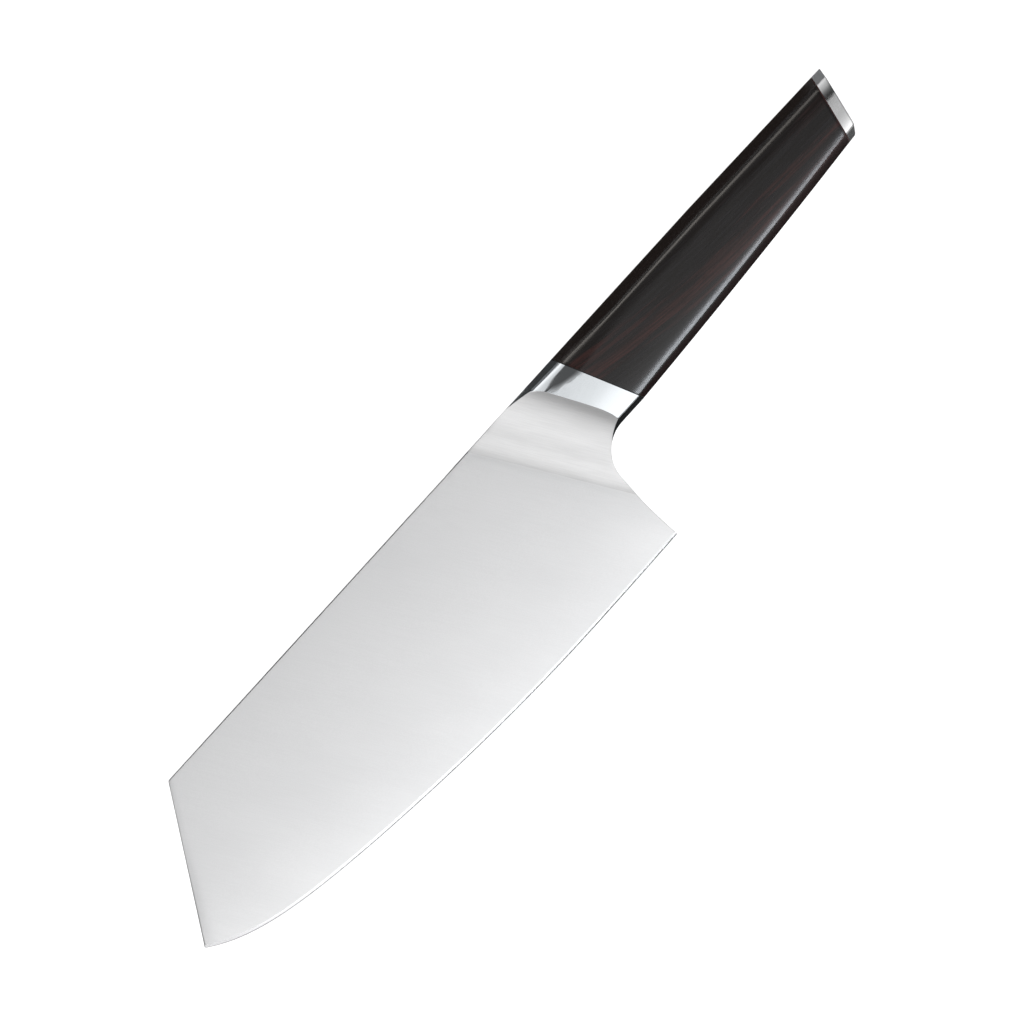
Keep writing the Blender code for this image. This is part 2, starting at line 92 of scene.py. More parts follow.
def ease(distance: np.ndarray, reach: float) -> np.ndarray:
    """Give the drop of a rounded border at a distance inside it.

    Formula: reach times the square of one minus the root of distance over reach, and nothing
    further in than the reach.

    Args:
        distance: Distances inside the border.
        reach: How far in the rounding reaches.

    Returns:
        The drop at each distance.
    """
    share = np.clip(np.asarray(distance, float) / reach, 0.0, 1.0)
    return reach * (1.0 - np.sqrt(share)) ** 2


def round_and_resample(raw: np.ndarray, keys: Sequence[int], rounding: Sequence[float],
                       points: Sequence[int]) -> np.ndarray:
    """Round the corners of a half section and lay an even set of points on it.

    Formula: each new point is the mean of the old line over a window of its own length, centred
    on it.  On a straight stretch that is the line itself, and at a corner it is a parabola that
    starts one window's half width away.  A window wider than the crisp one shrinks to it within
    two of its half widths from its key.

    Args:
        raw: Half section from the middle of the spine side to the middle of the belly side.
        keys: Indices in raw of both ends and of the corners between them.
        rounding: Half width of the window at each key.
        points: Number of even points between each key and the next.

    Returns:
        The rounded half section, with as many points whatever the lengths are.
    """
    line = np.vstack([raw[1] * MIRROR, raw, raw[-2] * MIRROR])
    step = np.linalg.norm(np.diff(line, axis=0), axis=1)
    run = np.concatenate([[0.0], np.cumsum(step)])
    filled = np.vstack([np.zeros(3), np.cumsum(step[:, None] * (line[1:] + line[:-1]) / 2, axis=0)])

    def integral(place: np.ndarray) -> np.ndarray:
        """Sum the line's points from its start to each place along it.

        Args:
            place: Lengths along the line.

        Returns:
            The sum at each place.
        """
        i = np.clip(np.searchsorted(run, place, side="right") - 1, 0, len(step) - 1)
        part = np.clip(place - run[i], 0.0, step[i])
        share = part / np.maximum(step[i], TINY)
        here = line[i] + (line[i + 1] - line[i]) * share[:, None]
        return filled[i] + part[:, None] * (line[i] + here) / 2

    marks = run[np.asarray(keys) + 1]
    places: list[np.ndarray] = []
    for j, count in enumerate(points):
        length = marks[j + 1] - marks[j]
        near = min(rounding[j], length / 3) if j > 0 else 0.0
        far = min(rounding[j + 1], length / 3) if j + 1 < len(points) else 0.0
        if j > 0:
            places.append(marks[j] + near * CLUSTER)
        places.append(marks[j] + near + (length - near - far) * np.arange(count) / count)
        if j + 1 < len(points):
            places.append(marks[j + 1] - far * (1.0 - CLUSTER))
    places.append(marks[-1:])
    place = np.concatenate(places)
    widest = np.asarray(rounding)
    crisp = np.minimum(widest, CRISP)
    away = np.abs(place[:, None] - marks) / (2 * widest + GUARD)
    extra = (widest - crisp) * np.clip(1.0 - away, 0.0, 1.0)
    window = np.interp(place, marks + np.arange(len(marks)) * TINY, crisp) + extra.max(axis=1)
    window = np.maximum(window, SHORTEST_WINDOW)
    return (integral(place + window) - integral(place - window)) / (2 * window[:, None])


def points_per_section(points: Sequence[int]) -> list[int]:
    """Give the index of each key in a section that round_and_resample has laid out.

    Args:
        points: Number of even points between each key and the next.

    Returns:
        The index of each key.
    """
    starts = [0]
    for j, count in enumerate(points):
        corners = (j > 0) + (j + 1 < len(points))
        starts.append(starts[-1] + count + corners * len(CLUSTER))
    return starts


def skin(name: str, halves: np.ndarray, origin: Vector, slots: np.ndarray | None = None,
         materials: Sequence[bpy.types.Material] = ()) -> bpy.types.Object:
    """Close a row of half sections into one solid, mirrored through the middle plane.

    Each end is closed by one face over its wall on the spine side, one over its wall on the belly
    side, and a ladder of strips from the near side to the far side between them.

    Args:
        name: Name of the new piece.
        halves: Array of rows, points and coordinates, each row from z 0 round to z 0 again.
        origin: Where the plan's zero point lies in the world.
        slots: Material index of each strip between two points, for each row but the last.
        materials: The materials that those indices name.

    Returns:
        The new piece, with its place in its mesh.
    """
    rows, count = halves.shape[:2]
    ring = np.concatenate([halves, halves[:, -2:0:-1] * MIRROR], axis=1)
    around = ring.shape[1]
    first = np.arange(rows - 1)[:, None] * around
    here = np.arange(around)[None, :]
    after = (here + 1) % around
    sides = np.stack([first + here, first + after, first + around + after, first + around + here],
                     axis=-1).reshape(-1, 4)
    wall = np.arange(-WALL_STRIPS, WALL_STRIPS + 1)
    k = np.arange(WALL_STRIPS, count - 1 - WALL_STRIPS)
    rungs = np.stack([k, k + 1, around - k - 1, around - k], axis=-1)
    faces = sides.tolist()
    for end in (0, (rows - 1) * around):
        faces += [(end + wall % around).tolist(), (end + count - 1 + wall).tolist()]
        faces += (end + rungs).tolist()
    indices = np.zeros(len(faces), dtype=np.int32)
    if slots is not None:
        strips = np.concatenate([slots, slots[:, ::-1]], axis=1)
        indices[:len(sides)] = strips.ravel()
    mesh = bpy.data.meshes.new(name)
    mesh.from_pydata((ring.reshape(-1, 3) + np.array(origin)).tolist(), [], faces)
    for material in materials:
        mesh.materials.append(material)
    mesh.polygons.foreach_set("material_index", indices)
    tidy(mesh)
    piece = bpy.data.objects.new(name, mesh)
    bpy.context.scene.collection.objects.link(piece)
    return piece


def tidy(mesh: bpy.types.Mesh) -> None:
    """Merge the points that coincide, drop empty faces and point every face outwards.

    Args:
        mesh: The mesh to clean.
    """
    work = bmesh.new()
    work.from_mesh(mesh)
    bmesh.ops.remove_doubles(work, verts=work.verts, dist=MERGE_DISTANCE)
    bmesh.ops.dissolve_degenerate(work, edges=work.edges, dist=MERGE_DISTANCE)
    bmesh.ops.recalc_face_normals(work, faces=work.faces)
    work.to_mesh(mesh)
    work.free()


def smooth(piece: bpy.types.Object) -> None:
    """Shade smooth across small angles, with the large faces setting the direction.

    Args:
        piece: The piece to shade.
    """
    piece.data.shade_smooth()
    piece.data.set_sharp_from_angle(angle=SHARP_ANGLE)
    weighted = piece.modifiers.new("weighted_normals", 'WEIGHTED_NORMAL')
    weighted.keep_sharp = True


def carve(piece: bpy.types.Object, tool: bpy.types.Object, operation: str = 'DIFFERENCE') -> None:
    """Cut a tool out of a piece, or join it on, and remove the tool.

    Args:
        piece: The piece to change.
        tool: The solid to cut away or to join.
        operation: The Boolean operation.
    """
    modifier = piece.modifiers.new(tool.name, 'BOOLEAN')
    modifier.object = tool
    modifier.operation = operation
    modifier.solver = 'EXACT'
    bpy.context.view_layer.update()
    graph = bpy.context.evaluated_depsgraph_get()
    mesh = bpy.data.meshes.new_from_object(piece.evaluated_get(graph))
    old = piece.data
    mesh.name = old.name
    piece.modifiers.remove(modifier)
    piece.data = mesh
    bpy.data.meshes.remove(old)
    bpy.data.objects.remove(tool, do_unlink=True)


def plate(name: str, outline: Sequence[tuple[float, float]], half_height: float,
          origin: Vector) -> bpy.types.Object:
    """Flat tool body of an outline, as thick above the middle plane as below it.

    Args:
        name: Name of the tool.
        outline: Corners in plan, in order.
        half_height: Half its thickness.
        origin: Where the plan's zero point lies in the world.

    Returns:
        The tool body.
    """
    corners = np.array(outline)
    count = len(corners)
    levels = [np.column_stack([corners, np.full(count, z)]) for z in (-half_height, half_height)]
    here = np.arange(count)
    after = (here + 1) % count
    faces = np.stack([here, after, after + count, here + count], axis=-1).tolist()
    faces += [here[::-1].tolist(), (here + count).tolist()]
    mesh = bpy.data.meshes.new(name)
    mesh.from_pydata((np.vstack(levels) + np.array(origin)).tolist(), [], faces)
    tidy(mesh)
    tool = bpy.data.objects.new(name, mesh)
    bpy.context.scene.collection.objects.link(tool)
    return tool


class Nodes:
    """Short way of writing down a material's nodes."""

    def __init__(self, name: str) -> None:
        """Start an empty material with a Principled shader.

        Args:
            name: Name of the material.
        """
        self.material = bpy.data.materials.new(name)
        self.material.use_nodes = True
        self.tree = self.material.node_tree
        self.shader = self.tree.nodes["Principled BSDF"]
        self.output = self.tree.nodes["Material Output"]

    def add(self, kind: str, **settings: object) -> bpy.types.Node:
        """Add a node of a kind and set its plain properties.

        Args:
            kind: The node's type.
            **settings: Its properties by name.

        Returns:
            The node.
        """
        node = self.tree.nodes.new(kind)
        for key, value in settings.items():
            setattr(node, key, value)
        return node

    def join(self, source: bpy.types.NodeSocket, target: bpy.types.NodeSocket) -> None:
        """Link one socket to another."""
        self.tree.links.new(source, target)

    def fix(self, **values: object) -> None:
        """Set constant values on the shader's own sockets, named with underscores."""
        for key, value in values.items():
            self.shader.inputs[key.replace("_", " ")].default_value = value

    def grain(self, size: tuple[float, float, float], turn: tuple[float, float, float],
              detail: float, roughness: float = 0.5,
              place: bpy.types.NodeSocket | None = None) -> bpy.types.NodeSocket:
        """Noise stretched into a grain, on the object's own coordinates.

        Args:
            size: Length, width and depth of one figure of the grain, in metres.
            turn: Turn of the grain's own axes, in radians.
            detail: Number of finer layers of noise.
            roughness: Strength of the finer layers.
            place: Other coordinates to lay the grain on.

        Returns:
            The noise, from 0 to 1.
        """
        if place is None:
            place = self.add("ShaderNodeTexCoord").outputs["Object"]
        mapping = self.add("ShaderNodeMapping", vector_type='TEXTURE')
        mapping.inputs["Scale"].default_value = size
        mapping.inputs["Rotation"].default_value = turn
        noise = self.add("ShaderNodeTexNoise")
        noise.inputs["Scale"].default_value = 1.0
        noise.inputs["Detail"].default_value = detail
        noise.inputs["Roughness"].default_value = roughness
        self.join(place, mapping.inputs["Vector"])
        self.join(mapping.outputs["Vector"], noise.inputs["Vector"])
        return noise.outputs["Fac"]

    def spread(self, value: bpy.types.NodeSocket, low: float, high: float, new_low: float,
               new_high: float) -> bpy.types.NodeSocket:
        """Map a range of values smoothly onto another range.

        Args:
            value: The value to map.
            low: Start of its range.
            high: End of its range.
            new_low: What the start becomes.
            new_high: What the end becomes.

        Returns:
            The mapped value.
        """
        node = self.add("ShaderNodeMapRange", interpolation_type='SMOOTHSTEP')
        for key, number in (("From Min", low), ("From Max", high), ("To Min", new_low),
                            ("To Max", new_high)):
            node.inputs[key].default_value = number
        self.join(value, node.inputs["Value"])
        return node.outputs["Result"]

    def work_out(self, operation: str, first: object, second: object = 0.5,
                 third: object = 0.5) -> bpy.types.NodeSocket:
        """Work out a sum, a product or the like of sockets or plain numbers.

        Args:
            operation: The Math node's operation.
            first: Its first value.
            second: Its second value.
            third: Its third value.

        Returns:
            The result.
        """
        node = self.add("ShaderNodeMath", operation=operation)
        for socket, value in zip(node.inputs, (first, second, third)):
            if isinstance(value, bpy.types.NodeSocket):
                self.join(value, socket)
            else:
                socket.default_value = value
        return node.outputs["Value"]

    def blend(self, share: bpy.types.NodeSocket, first: object, second: object,
              kind: str = 'MIX') -> bpy.types.NodeSocket:
        """Blend two colours, given as sockets or as triples.

        Args:
            share: Share of the second colour.
            first: The first colour.
            second: The second colour.
            kind: The way of blending.

        Returns:
            The blended colour.
        """
        node = self.add("ShaderNodeMix", data_type='RGBA', blend_type=kind)
        self.join(share, node.inputs[0])
        for socket, value in ((node.inputs[6], first), (node.inputs[7], second)):
            if isinstance(value, bpy.types.NodeSocket):
                self.join(value, socket)
            else:
                socket.default_value = (*value, 1.0)
        return node.outputs[2]

    def bump(self, height: bpy.types.NodeSocket, distance: float, strength: float) -> None:
        """Let a height stand up from the surface.

        Args:
            height: The height, from 0 to 1.
            distance: How much a height of 1 stands up, in metres.
            strength: Share of the effect that is used.
        """
        node = self.add("ShaderNodeBump")
        node.inputs["Distance"].default_value = distance
        node.inputs["Strength"].default_value = strength
        self.join(height, node.inputs["Height"])
        self.join(node.outputs["Normal"], self.shader.inputs["Normal"])


@dataclass(frozen=True)
class SatinSteel:
    """Steel with the fine straight lines that a grinding belt leaves."""

    name: str = "satin_steel"
    color: tuple[float, float, float] = (0.64, 0.64, 0.643)
    roughness: float = 0.30
    line_angle: float = math.radians(-61.9)
    line_length: float = 9 * MM
    line_width: float = 0.22 * MM
    line_height: float = 0.003 * MM
    line_strength: float = 0.35
    speckle_size: float = 0.30 * MM
    line_share: float = 0.4
    contrast: float = 0.026
    cloud_length: float = 60 * MM
    cloud_width: float = 22 * MM
    roughness_swing: float = 0.012
    noise_range: tuple[float, float] = (0.32, 0.68)

    def material(self) -> bpy.types.Material:
        """Make the material.

        Returns:
            The material.
        """
        nodes = Nodes(self.name)
        turn = (0.0, 0.0, self.line_angle)
        lines = nodes.grain((self.line_length, self.line_width, self.line_width), turn, 3.0)
        clouds = nodes.grain((self.cloud_length, self.cloud_width, self.cloud_width), turn, 2.0)
        speckle = nodes.grain((self.speckle_size,) * 3, turn, 2.0)
        fine = nodes.work_out('MULTIPLY_ADD', nodes.spread(lines, *self.noise_range, 0.0, 1.0),
                              self.line_share,
                              nodes.spread(speckle, *self.noise_range, 0.0, 1.0 - self.line_share))
        dark = tuple((1.0 - self.contrast) * c for c in self.color)
        light = tuple((1.0 + self.contrast) * c for c in self.color)
        nodes.join(nodes.blend(fine, dark, light), nodes.shader.inputs["Base Color"])
        swing = self.roughness_swing
        rough = nodes.work_out('ADD', nodes.spread(fine, 0.0, 1.0, swing, -swing),
                               nodes.spread(clouds, 0.35, 0.65, self.roughness - swing,
                                            self.roughness + swing))
        nodes.join(rough, nodes.shader.inputs["Roughness"])
        nodes.bump(lines, self.line_height, self.line_strength)
        nodes.fix(Metallic=1.0)
        return nodes.material


@dataclass(frozen=True)
class PolishedSteel:
    """Buffed steel, nearly a mirror, with faint wheel marks."""

    name: str = "polished_steel"
    color: tuple[float, float, float] = (0.475, 0.495, 0.511)
    roughness: float = 0.07
    mark_turn: float = 0.35
    mark_length: float = 9 * MM
    mark_width: float = 0.25 * MM
    mark_height: float = 0.001 * MM
    mark_strength: float = 0.12
    haze_length: float = 7 * MM
    haze_width: float = 5 * MM
    haze_swing: float = 0.01

    def material(self) -> bpy.types.Material:
        """Make the material.

        Returns:
            The material.
        """
        nodes = Nodes(self.name)
        marks = nodes.grain((self.mark_length, self.mark_width, self.mark_width),
                            (0.0, 0.0, self.mark_turn), 4.0, 0.6)
        haze = nodes.grain((self.haze_length, self.haze_width, self.haze_width),
                           (0.0, 0.0, 0.0), 3.0)
        faint = nodes.spread(marks, 0.35, 0.75, 0.0, 1.0)
        dark = tuple(0.985 * c for c in self.color)
        nodes.join(nodes.blend(faint, self.color, dark), nodes.shader.inputs["Base Color"])
        rough = nodes.work_out('ADD', nodes.spread(faint, 0.0, 1.0, 0.0, 0.015),
                               nodes.spread(haze, 0.35, 0.65, self.roughness - self.haze_swing,
                                            self.roughness + self.haze_swing))
        nodes.join(rough, nodes.shader.inputs["Roughness"])
        nodes.bump(marks, self.mark_height, self.mark_strength)
        nodes.fix(Metallic=1.0)
        return nodes.material


@dataclass(frozen=True)
class Ebony:
    """Oiled near-black hardwood whose grain bends away from the axis towards the bolster."""

    name: str = "oiled_ebony"
    black: tuple[float, float, float] = (0.0048, 0.0036, 0.0032)
    charcoal: tuple[float, float, float] = (0.0090, 0.0090, 0.0097)
    red: tuple[float, float, float] = (0.044, 0.0150, 0.0130)
    roughness: float = 0.24
    first_slope: float = 0.24
    last_slope: float = 0.03
    bend_start: float = 12 * MM
    bend_length: float = 65 * MM
    band_y: float = -9.6 * MM
    band_width: float = 4.6 * MM
    streak_length: float = 22.0 * MM
    streak_width: float = 0.60 * MM
    figure_length: float = 60.0 * MM
    figure_width: float = 2.6 * MM
    pore_length: float = 5.0 * MM
    pore_width: float = 0.17 * MM
    pore_height: float = 0.002 * MM
    pore_strength: float = 0.15
    grain_dive: float = math.radians(2.0)
    end_reach: float = 0.40 * MM
    end_black: tuple[float, float, float] = (0.0006, 0.0005, 0.0005)
    end_red: tuple[float, float, float] = (0.055, 0.0130, 0.0100)
    # Painted light: a lighter warm brown on the spine's chamfer and ridge, in place of the light they
    # catch, and how far from the spine it reaches.
    spine_painted_light: tuple[float, float, float] = (0.0240, 0.0165, 0.0138)
    spine_painted_light_reach: float = 3.3 * MM
    belly_red: tuple[float, float, float] = (0.0150, 0.0042, 0.0036)
    belly_drop: tuple[float, float] = (13 * MM, 18 * MM)
    belly_height: tuple[float, float] = (7.3 * MM, 8.0 * MM)

    def grain_place(self, nodes: Nodes, split: bpy.types.Node,
                    origin: Vector) -> tuple[bpy.types.NodeSocket, ...]:
        """Give coordinates that run along the bent grain.

        Formula: across the grain, y plus the grain's fall from the bolster on, which is its last
        slope times the run, plus the change of slope times the bent stretch of the run less that
        stretch squared over twice the bend's length.

        Args:
            nodes: The wood's nodes.
            split: The node that gives the block's own x, y and z.
            origin: Where the plan's zero point lies in the world.

        Returns:
            The coordinates, and the distance across the grain in plan.
        """
        run = nodes.work_out('SUBTRACT', split.outputs["X"], origin.x + self.bend_start)
        bent = nodes.work_out('MAXIMUM', nodes.work_out('MINIMUM', run, self.bend_length), 0.0)
        change = (self.first_slope - self.last_slope) / (2 * self.bend_length)
        fall = nodes.work_out('MULTIPLY', bent, nodes.work_out(
            'MULTIPLY_ADD', bent, -change, self.first_slope - self.last_slope))
        fall = nodes.work_out('MULTIPLY_ADD', run, self.last_slope, fall)
        across = nodes.work_out('ADD', split.outputs["Y"], fall)
        joined = nodes.add("ShaderNodeCombineXYZ")
        nodes.join(split.outputs["X"], joined.inputs["X"])
        nodes.join(across, joined.inputs["Y"])
        nodes.join(split.outputs["Z"], joined.inputs["Z"])
        return joined.outputs["Vector"], nodes.work_out('SUBTRACT', across, origin.y)

    def near_plane(self, nodes: Nodes, split: bpy.types.Node, facing: float, lean: float,
                   start: float) -> bpy.types.NodeSocket:
        """Give how near the surface is to a leaning plane, from 1 beside it to 0.

        Args:
            nodes: The wood's nodes.
            split: The node that gives the block's own x, y and z.
            facing: 1 where the wood lies on the butt's side of the plane, -1 on the other.
            lean: How much the plane's x falls with y.
            start: The plane's x where the block's y is 0.

        Returns:
            The nearness.
        """
        offset = nodes.work_out('MULTIPLY_ADD', split.outputs["Y"], lean, -start)
        away = nodes.work_out('MULTIPLY', nodes.work_out('ADD', split.outputs["X"], offset), facing)
        return nodes.spread(away, 0.25 * self.end_reach, self.end_reach, 1.0, 0.0)

    def material(self, origin: Vector, section: "HandleSection") -> bpy.types.Material:
        """Make the material.

        Args:
            origin: Where the plan's zero point lies in the world.
            section: The handle's section, for the planes of its joints.

        Returns:
            The material.
        """
        nodes = Nodes(self.name)
        split = nodes.add("ShaderNodeSeparateXYZ")
        nodes.join(nodes.add("ShaderNodeTexCoord").outputs["Object"], split.inputs["Vector"])
        place, across = self.grain_place(nodes, split, origin)
        turn = (0.0, self.grain_dive, 0.0)

        def grain(length: float, width: float, detail: float) -> bpy.types.NodeSocket:
            """Grain of a length and a width, laid along the bent coordinates."""
            return nodes.grain((length, width, width), turn, detail, 0.6, place)

        streaks = grain(self.streak_length, self.streak_width, 4.0)
        figure = grain(self.figure_length, self.figure_width, 3.0)
        pores = grain(self.pore_length, self.pore_width, 2.0)
        # Red figure: a band that wanders along the grain, and fainter red lines elsewhere.
        off = nodes.work_out('SUBTRACT', across, self.band_y)
        wander = nodes.spread(figure, 0.25, 0.75, -0.9 * self.band_width, 0.9 * self.band_width)
        off = nodes.work_out('ABSOLUTE', nodes.work_out('ADD', off, wander))
        band = nodes.spread(off, 0.1 * self.band_width, 1.1 * self.band_width, 1.0, 0.0)
        lines = nodes.spread(streaks, 0.38, 0.62, 0.35, 1.0)
        hue = nodes.work_out('MULTIPLY', band, lines)
        faint = nodes.work_out('MULTIPLY', nodes.spread(figure, 0.55, 0.72, 0.04, 0.32), lines)
        hue = nodes.work_out('MAXIMUM', hue, faint)
        ground = nodes.blend(nodes.spread(streaks, 0.36, 0.64, 0.0, 1.0), self.black, self.charcoal)
        color = nodes.blend(hue, ground, self.red)
        shade = nodes.spread(pores, 0.30, 0.52, 0.55, 1.0)
        # Painted light: a lighter warm brown over the spine's chamfer and ridge stands in for the
        # light they catch; red on the belly's chamfers.
        drop = nodes.work_out('SUBTRACT', origin.y, split.outputs["Y"])
        spine = nodes.spread(drop, 0.8 * self.spine_painted_light_reach, 1.1 * self.spine_painted_light_reach, 0.8, 0.0)
        color = nodes.blend(spine, color, self.spine_painted_light)
        height = nodes.work_out('ABSOLUTE', nodes.work_out('SUBTRACT', split.outputs["Z"], origin.z))
        belly = nodes.work_out('MULTIPLY', nodes.spread(drop, *self.belly_drop, 0.0, 0.85),
                               nodes.spread(height, *self.belly_height, 1.0, 0.0))
        color = nodes.blend(belly, color, self.belly_red)
        dark = nodes.blend(shade, self.black, color)
        # A black line where the wood meets the bolster and a red one where it meets the cap.
        lean = math.tan(section.joint_angle)
        front = self.near_plane(nodes, split, 1.0, lean, origin.x + section.joint_x + lean * origin.y)
        lean = -math.tan(section.butt_angle)
        butt_x = section.butt_x - section.cap_thickness / math.cos(section.butt_angle)
        back = self.near_plane(nodes, split, -1.0, lean, origin.x + butt_x + lean * origin.y)
        dark = nodes.blend(front, nodes.blend(back, dark, self.end_red), self.end_black)
        nodes.join(dark, nodes.shader.inputs["Base Color"])
        rough = nodes.spread(pores, 0.3, 0.7, self.roughness + 0.01, self.roughness - 0.005)
        ends = nodes.work_out('MULTIPLY', nodes.work_out('MAXIMUM', front, back), 0.5)
        nodes.join(nodes.work_out('ADD', rough, ends), nodes.shader.inputs["Roughness"])
        height = nodes.work_out('ADD', pores, nodes.work_out('MULTIPLY', streaks, 0.8))
        nodes.bump(height, self.pore_height, self.pore_strength)
        nodes.fix(IOR=1.38)
        return nodes.material


@dataclass(frozen=True)
class TurnedSteel:
    """Plain turned steel of the stud, washer, nut and pins."""

    name: str = "turned_steel"
    color: tuple[float, float, float] = (0.50, 0.50, 0.50)
    ring_pitch: float = 0.12 * MM
    ring_width: float = 6 * MM
    ring_height: float = 0.01 * MM

    def material(self) -> bpy.types.Material:
        """Make the material.

        Returns:
            The material.
        """
        nodes = Nodes(self.name)
        rings = nodes.grain((self.ring_pitch, self.ring_width, self.ring_width),
                            (0.0, 0.0, 0.0), 2.0)
        dark = tuple(0.9 * c for c in self.color)
        nodes.join(nodes.blend(rings, dark, self.color), nodes.shader.inputs["Base Color"])
        nodes.join(nodes.spread(rings, 0.3, 0.7, 0.32, 0.45), nodes.shader.inputs["Roughness"])
        nodes.bump(rings, self.ring_height, 0.4)
        nodes.fix(Metallic=1.0)
        return nodes.material


@dataclass(frozen=True)
class BladePlan:
    """Side view of the blade and the finger round, and the blade's thickness."""

    length: float = 180.4 * MM
    spine_length: float = 151.7 * MM
    tip_drop: float = 40.45 * MM
    edge_drop: float = 61.3 * MM
    flat_run: float = 40.0 * MM
    heel_rise: float = 0.45 * MM
    belly_rise: float = 13.5 * MM
    belly_power: float = 1.87
    tip_power: float = 11.0
    heel_straight: float = 11.8 * MM
    heel_bend: float = 5.0 * MM
    choil_lean: float = math.radians(6.2)
    choil_radius: float = 12.0 * MM
    foot_x: float = -23.4 * MM
    foot_angle: float = math.radians(28.1)
    bolster_depth: float = 27.3 * MM
    spine_half: float = 1.1 * MM
    front_half: float = 0.8 * MM
    edge_half: float = 0.25 * MM
    foot_dip: float = 0.010 * MM
    foot_dip_reach: float = 1.7 * MM
    convex_share: float = 0.3
    convex_power: float = 5.0

    def edge_y(self, x: np.ndarray) -> np.ndarray:
        """Give the cutting edge's y at x.

        Formula: near the heel a parabola on the lowest point, and in front of it the sum of two
        powers of the share of the way to the tip, one gentle and one late.

        Args:
            x: Places along the blade.

        Returns:
            The edge's y at each place.
        """
        x = np.asarray(x, float)
        back = self.heel_rise * np.clip((x + self.flat_run) / self.flat_run, 0, 1) ** 2
        t = np.clip((-self.flat_run - x) / (self.length - self.flat_run), 0.0, 1.0)
        late = self.edge_drop - self.tip_drop - self.belly_rise
        belly = self.belly_rise * t ** self.belly_power
        return -self.edge_drop + back + belly + late * t ** self.tip_power

    def half_thickness(self, x: np.ndarray, y: np.ndarray) -> np.ndarray:
        """Give the blade's half thickness.

        Formula: the spine's half thickness, which falls evenly towards the front, less the sum
        of the share of the way down to the edge and a late power of it, and less a shallow dip
        that the grinding belt leaves along the ramp's foot.

        Args:
            x: Places along the blade.
            y: Places across it.

        Returns:
            Half the thickness at each place.
        """
        spine = self.spine_half + (self.front_half - self.spine_half) * (-x / self.spine_length)
        down = np.clip(y / self.edge_y(np.minimum(x, 0.0)), 0.0, 1.0)
        share = (1.0 - self.convex_share) * down + self.convex_share * down ** self.convex_power
        off = np.abs(x - self.behind_foot(0.0, y)) * math.cos(self.foot_angle)
        dip = self.foot_dip * np.clip(1.0 - off / self.foot_dip_reach, 0.0, 1.0)
        return spine - (spine - self.edge_half) * share - dip

    def behind_foot(self, distance: float, y: np.ndarray) -> np.ndarray:
        """x of a line beside the ramp's foot, the given distance behind it."""
        return self.foot_x + distance / math.cos(self.foot_angle) - y * math.tan(self.foot_angle)

    def choil_center(self) -> tuple[float, float]:
        """Give the centre of the finger round, which touches the leaning heel and the belly line.

        Returns:
            x and y of the centre.
        """
        y = -self.bolster_depth - self.choil_radius
        across = self.choil_radius / math.cos(self.choil_lean)
        return across + (y - self.lean_start()) * math.tan(self.choil_lean), y

    def border_y(self, distance: float, rise: np.ndarray) -> np.ndarray:
        """Give y where a line beside the ramp's foot meets the belly's outline.

        Formula: the upper crossing of the line with the finger round's circle, the belly line
        where that crossing lies behind the circle's top, and the leaning back of the heel where
        the line meets it below the circle.

        Args:
            distance: How far the line lies behind the foot.
            rise: How far inside the outline the crossing is wanted.

        Returns:
            y for each rise.
        """
        rise = np.asarray(rise, float)
        cx, cy = self.choil_center()
        slope = math.tan(self.foot_angle)
        across = self.foot_x + distance / math.cos(self.foot_angle) - cx
        a = 1 + slope ** 2
        b = across * slope + cy
        c = across ** 2 + cy ** 2 - (self.choil_radius + rise) ** 2
        root = b ** 2 - a * c
        y = (b + np.sqrt(np.maximum(root, 0.0))) / a
        x = across + cx - y * slope
        y = np.where((root > 0) & (x <= cx), y, -self.bolster_depth + rise)
        lean = math.tan(self.choil_lean)
        back = across + cx + self.lean_start() * lean + rise / math.cos(self.choil_lean)
        back = back / (slope + lean)
        touch = cy + (self.choil_radius + rise) * math.sin(self.choil_lean)
        return np.where(back < touch, back, y)

    def lean_start(self) -> float:
        """y where the heel's back starts to lean."""
        return float(self.edge_y(0.0)) + self.heel_straight


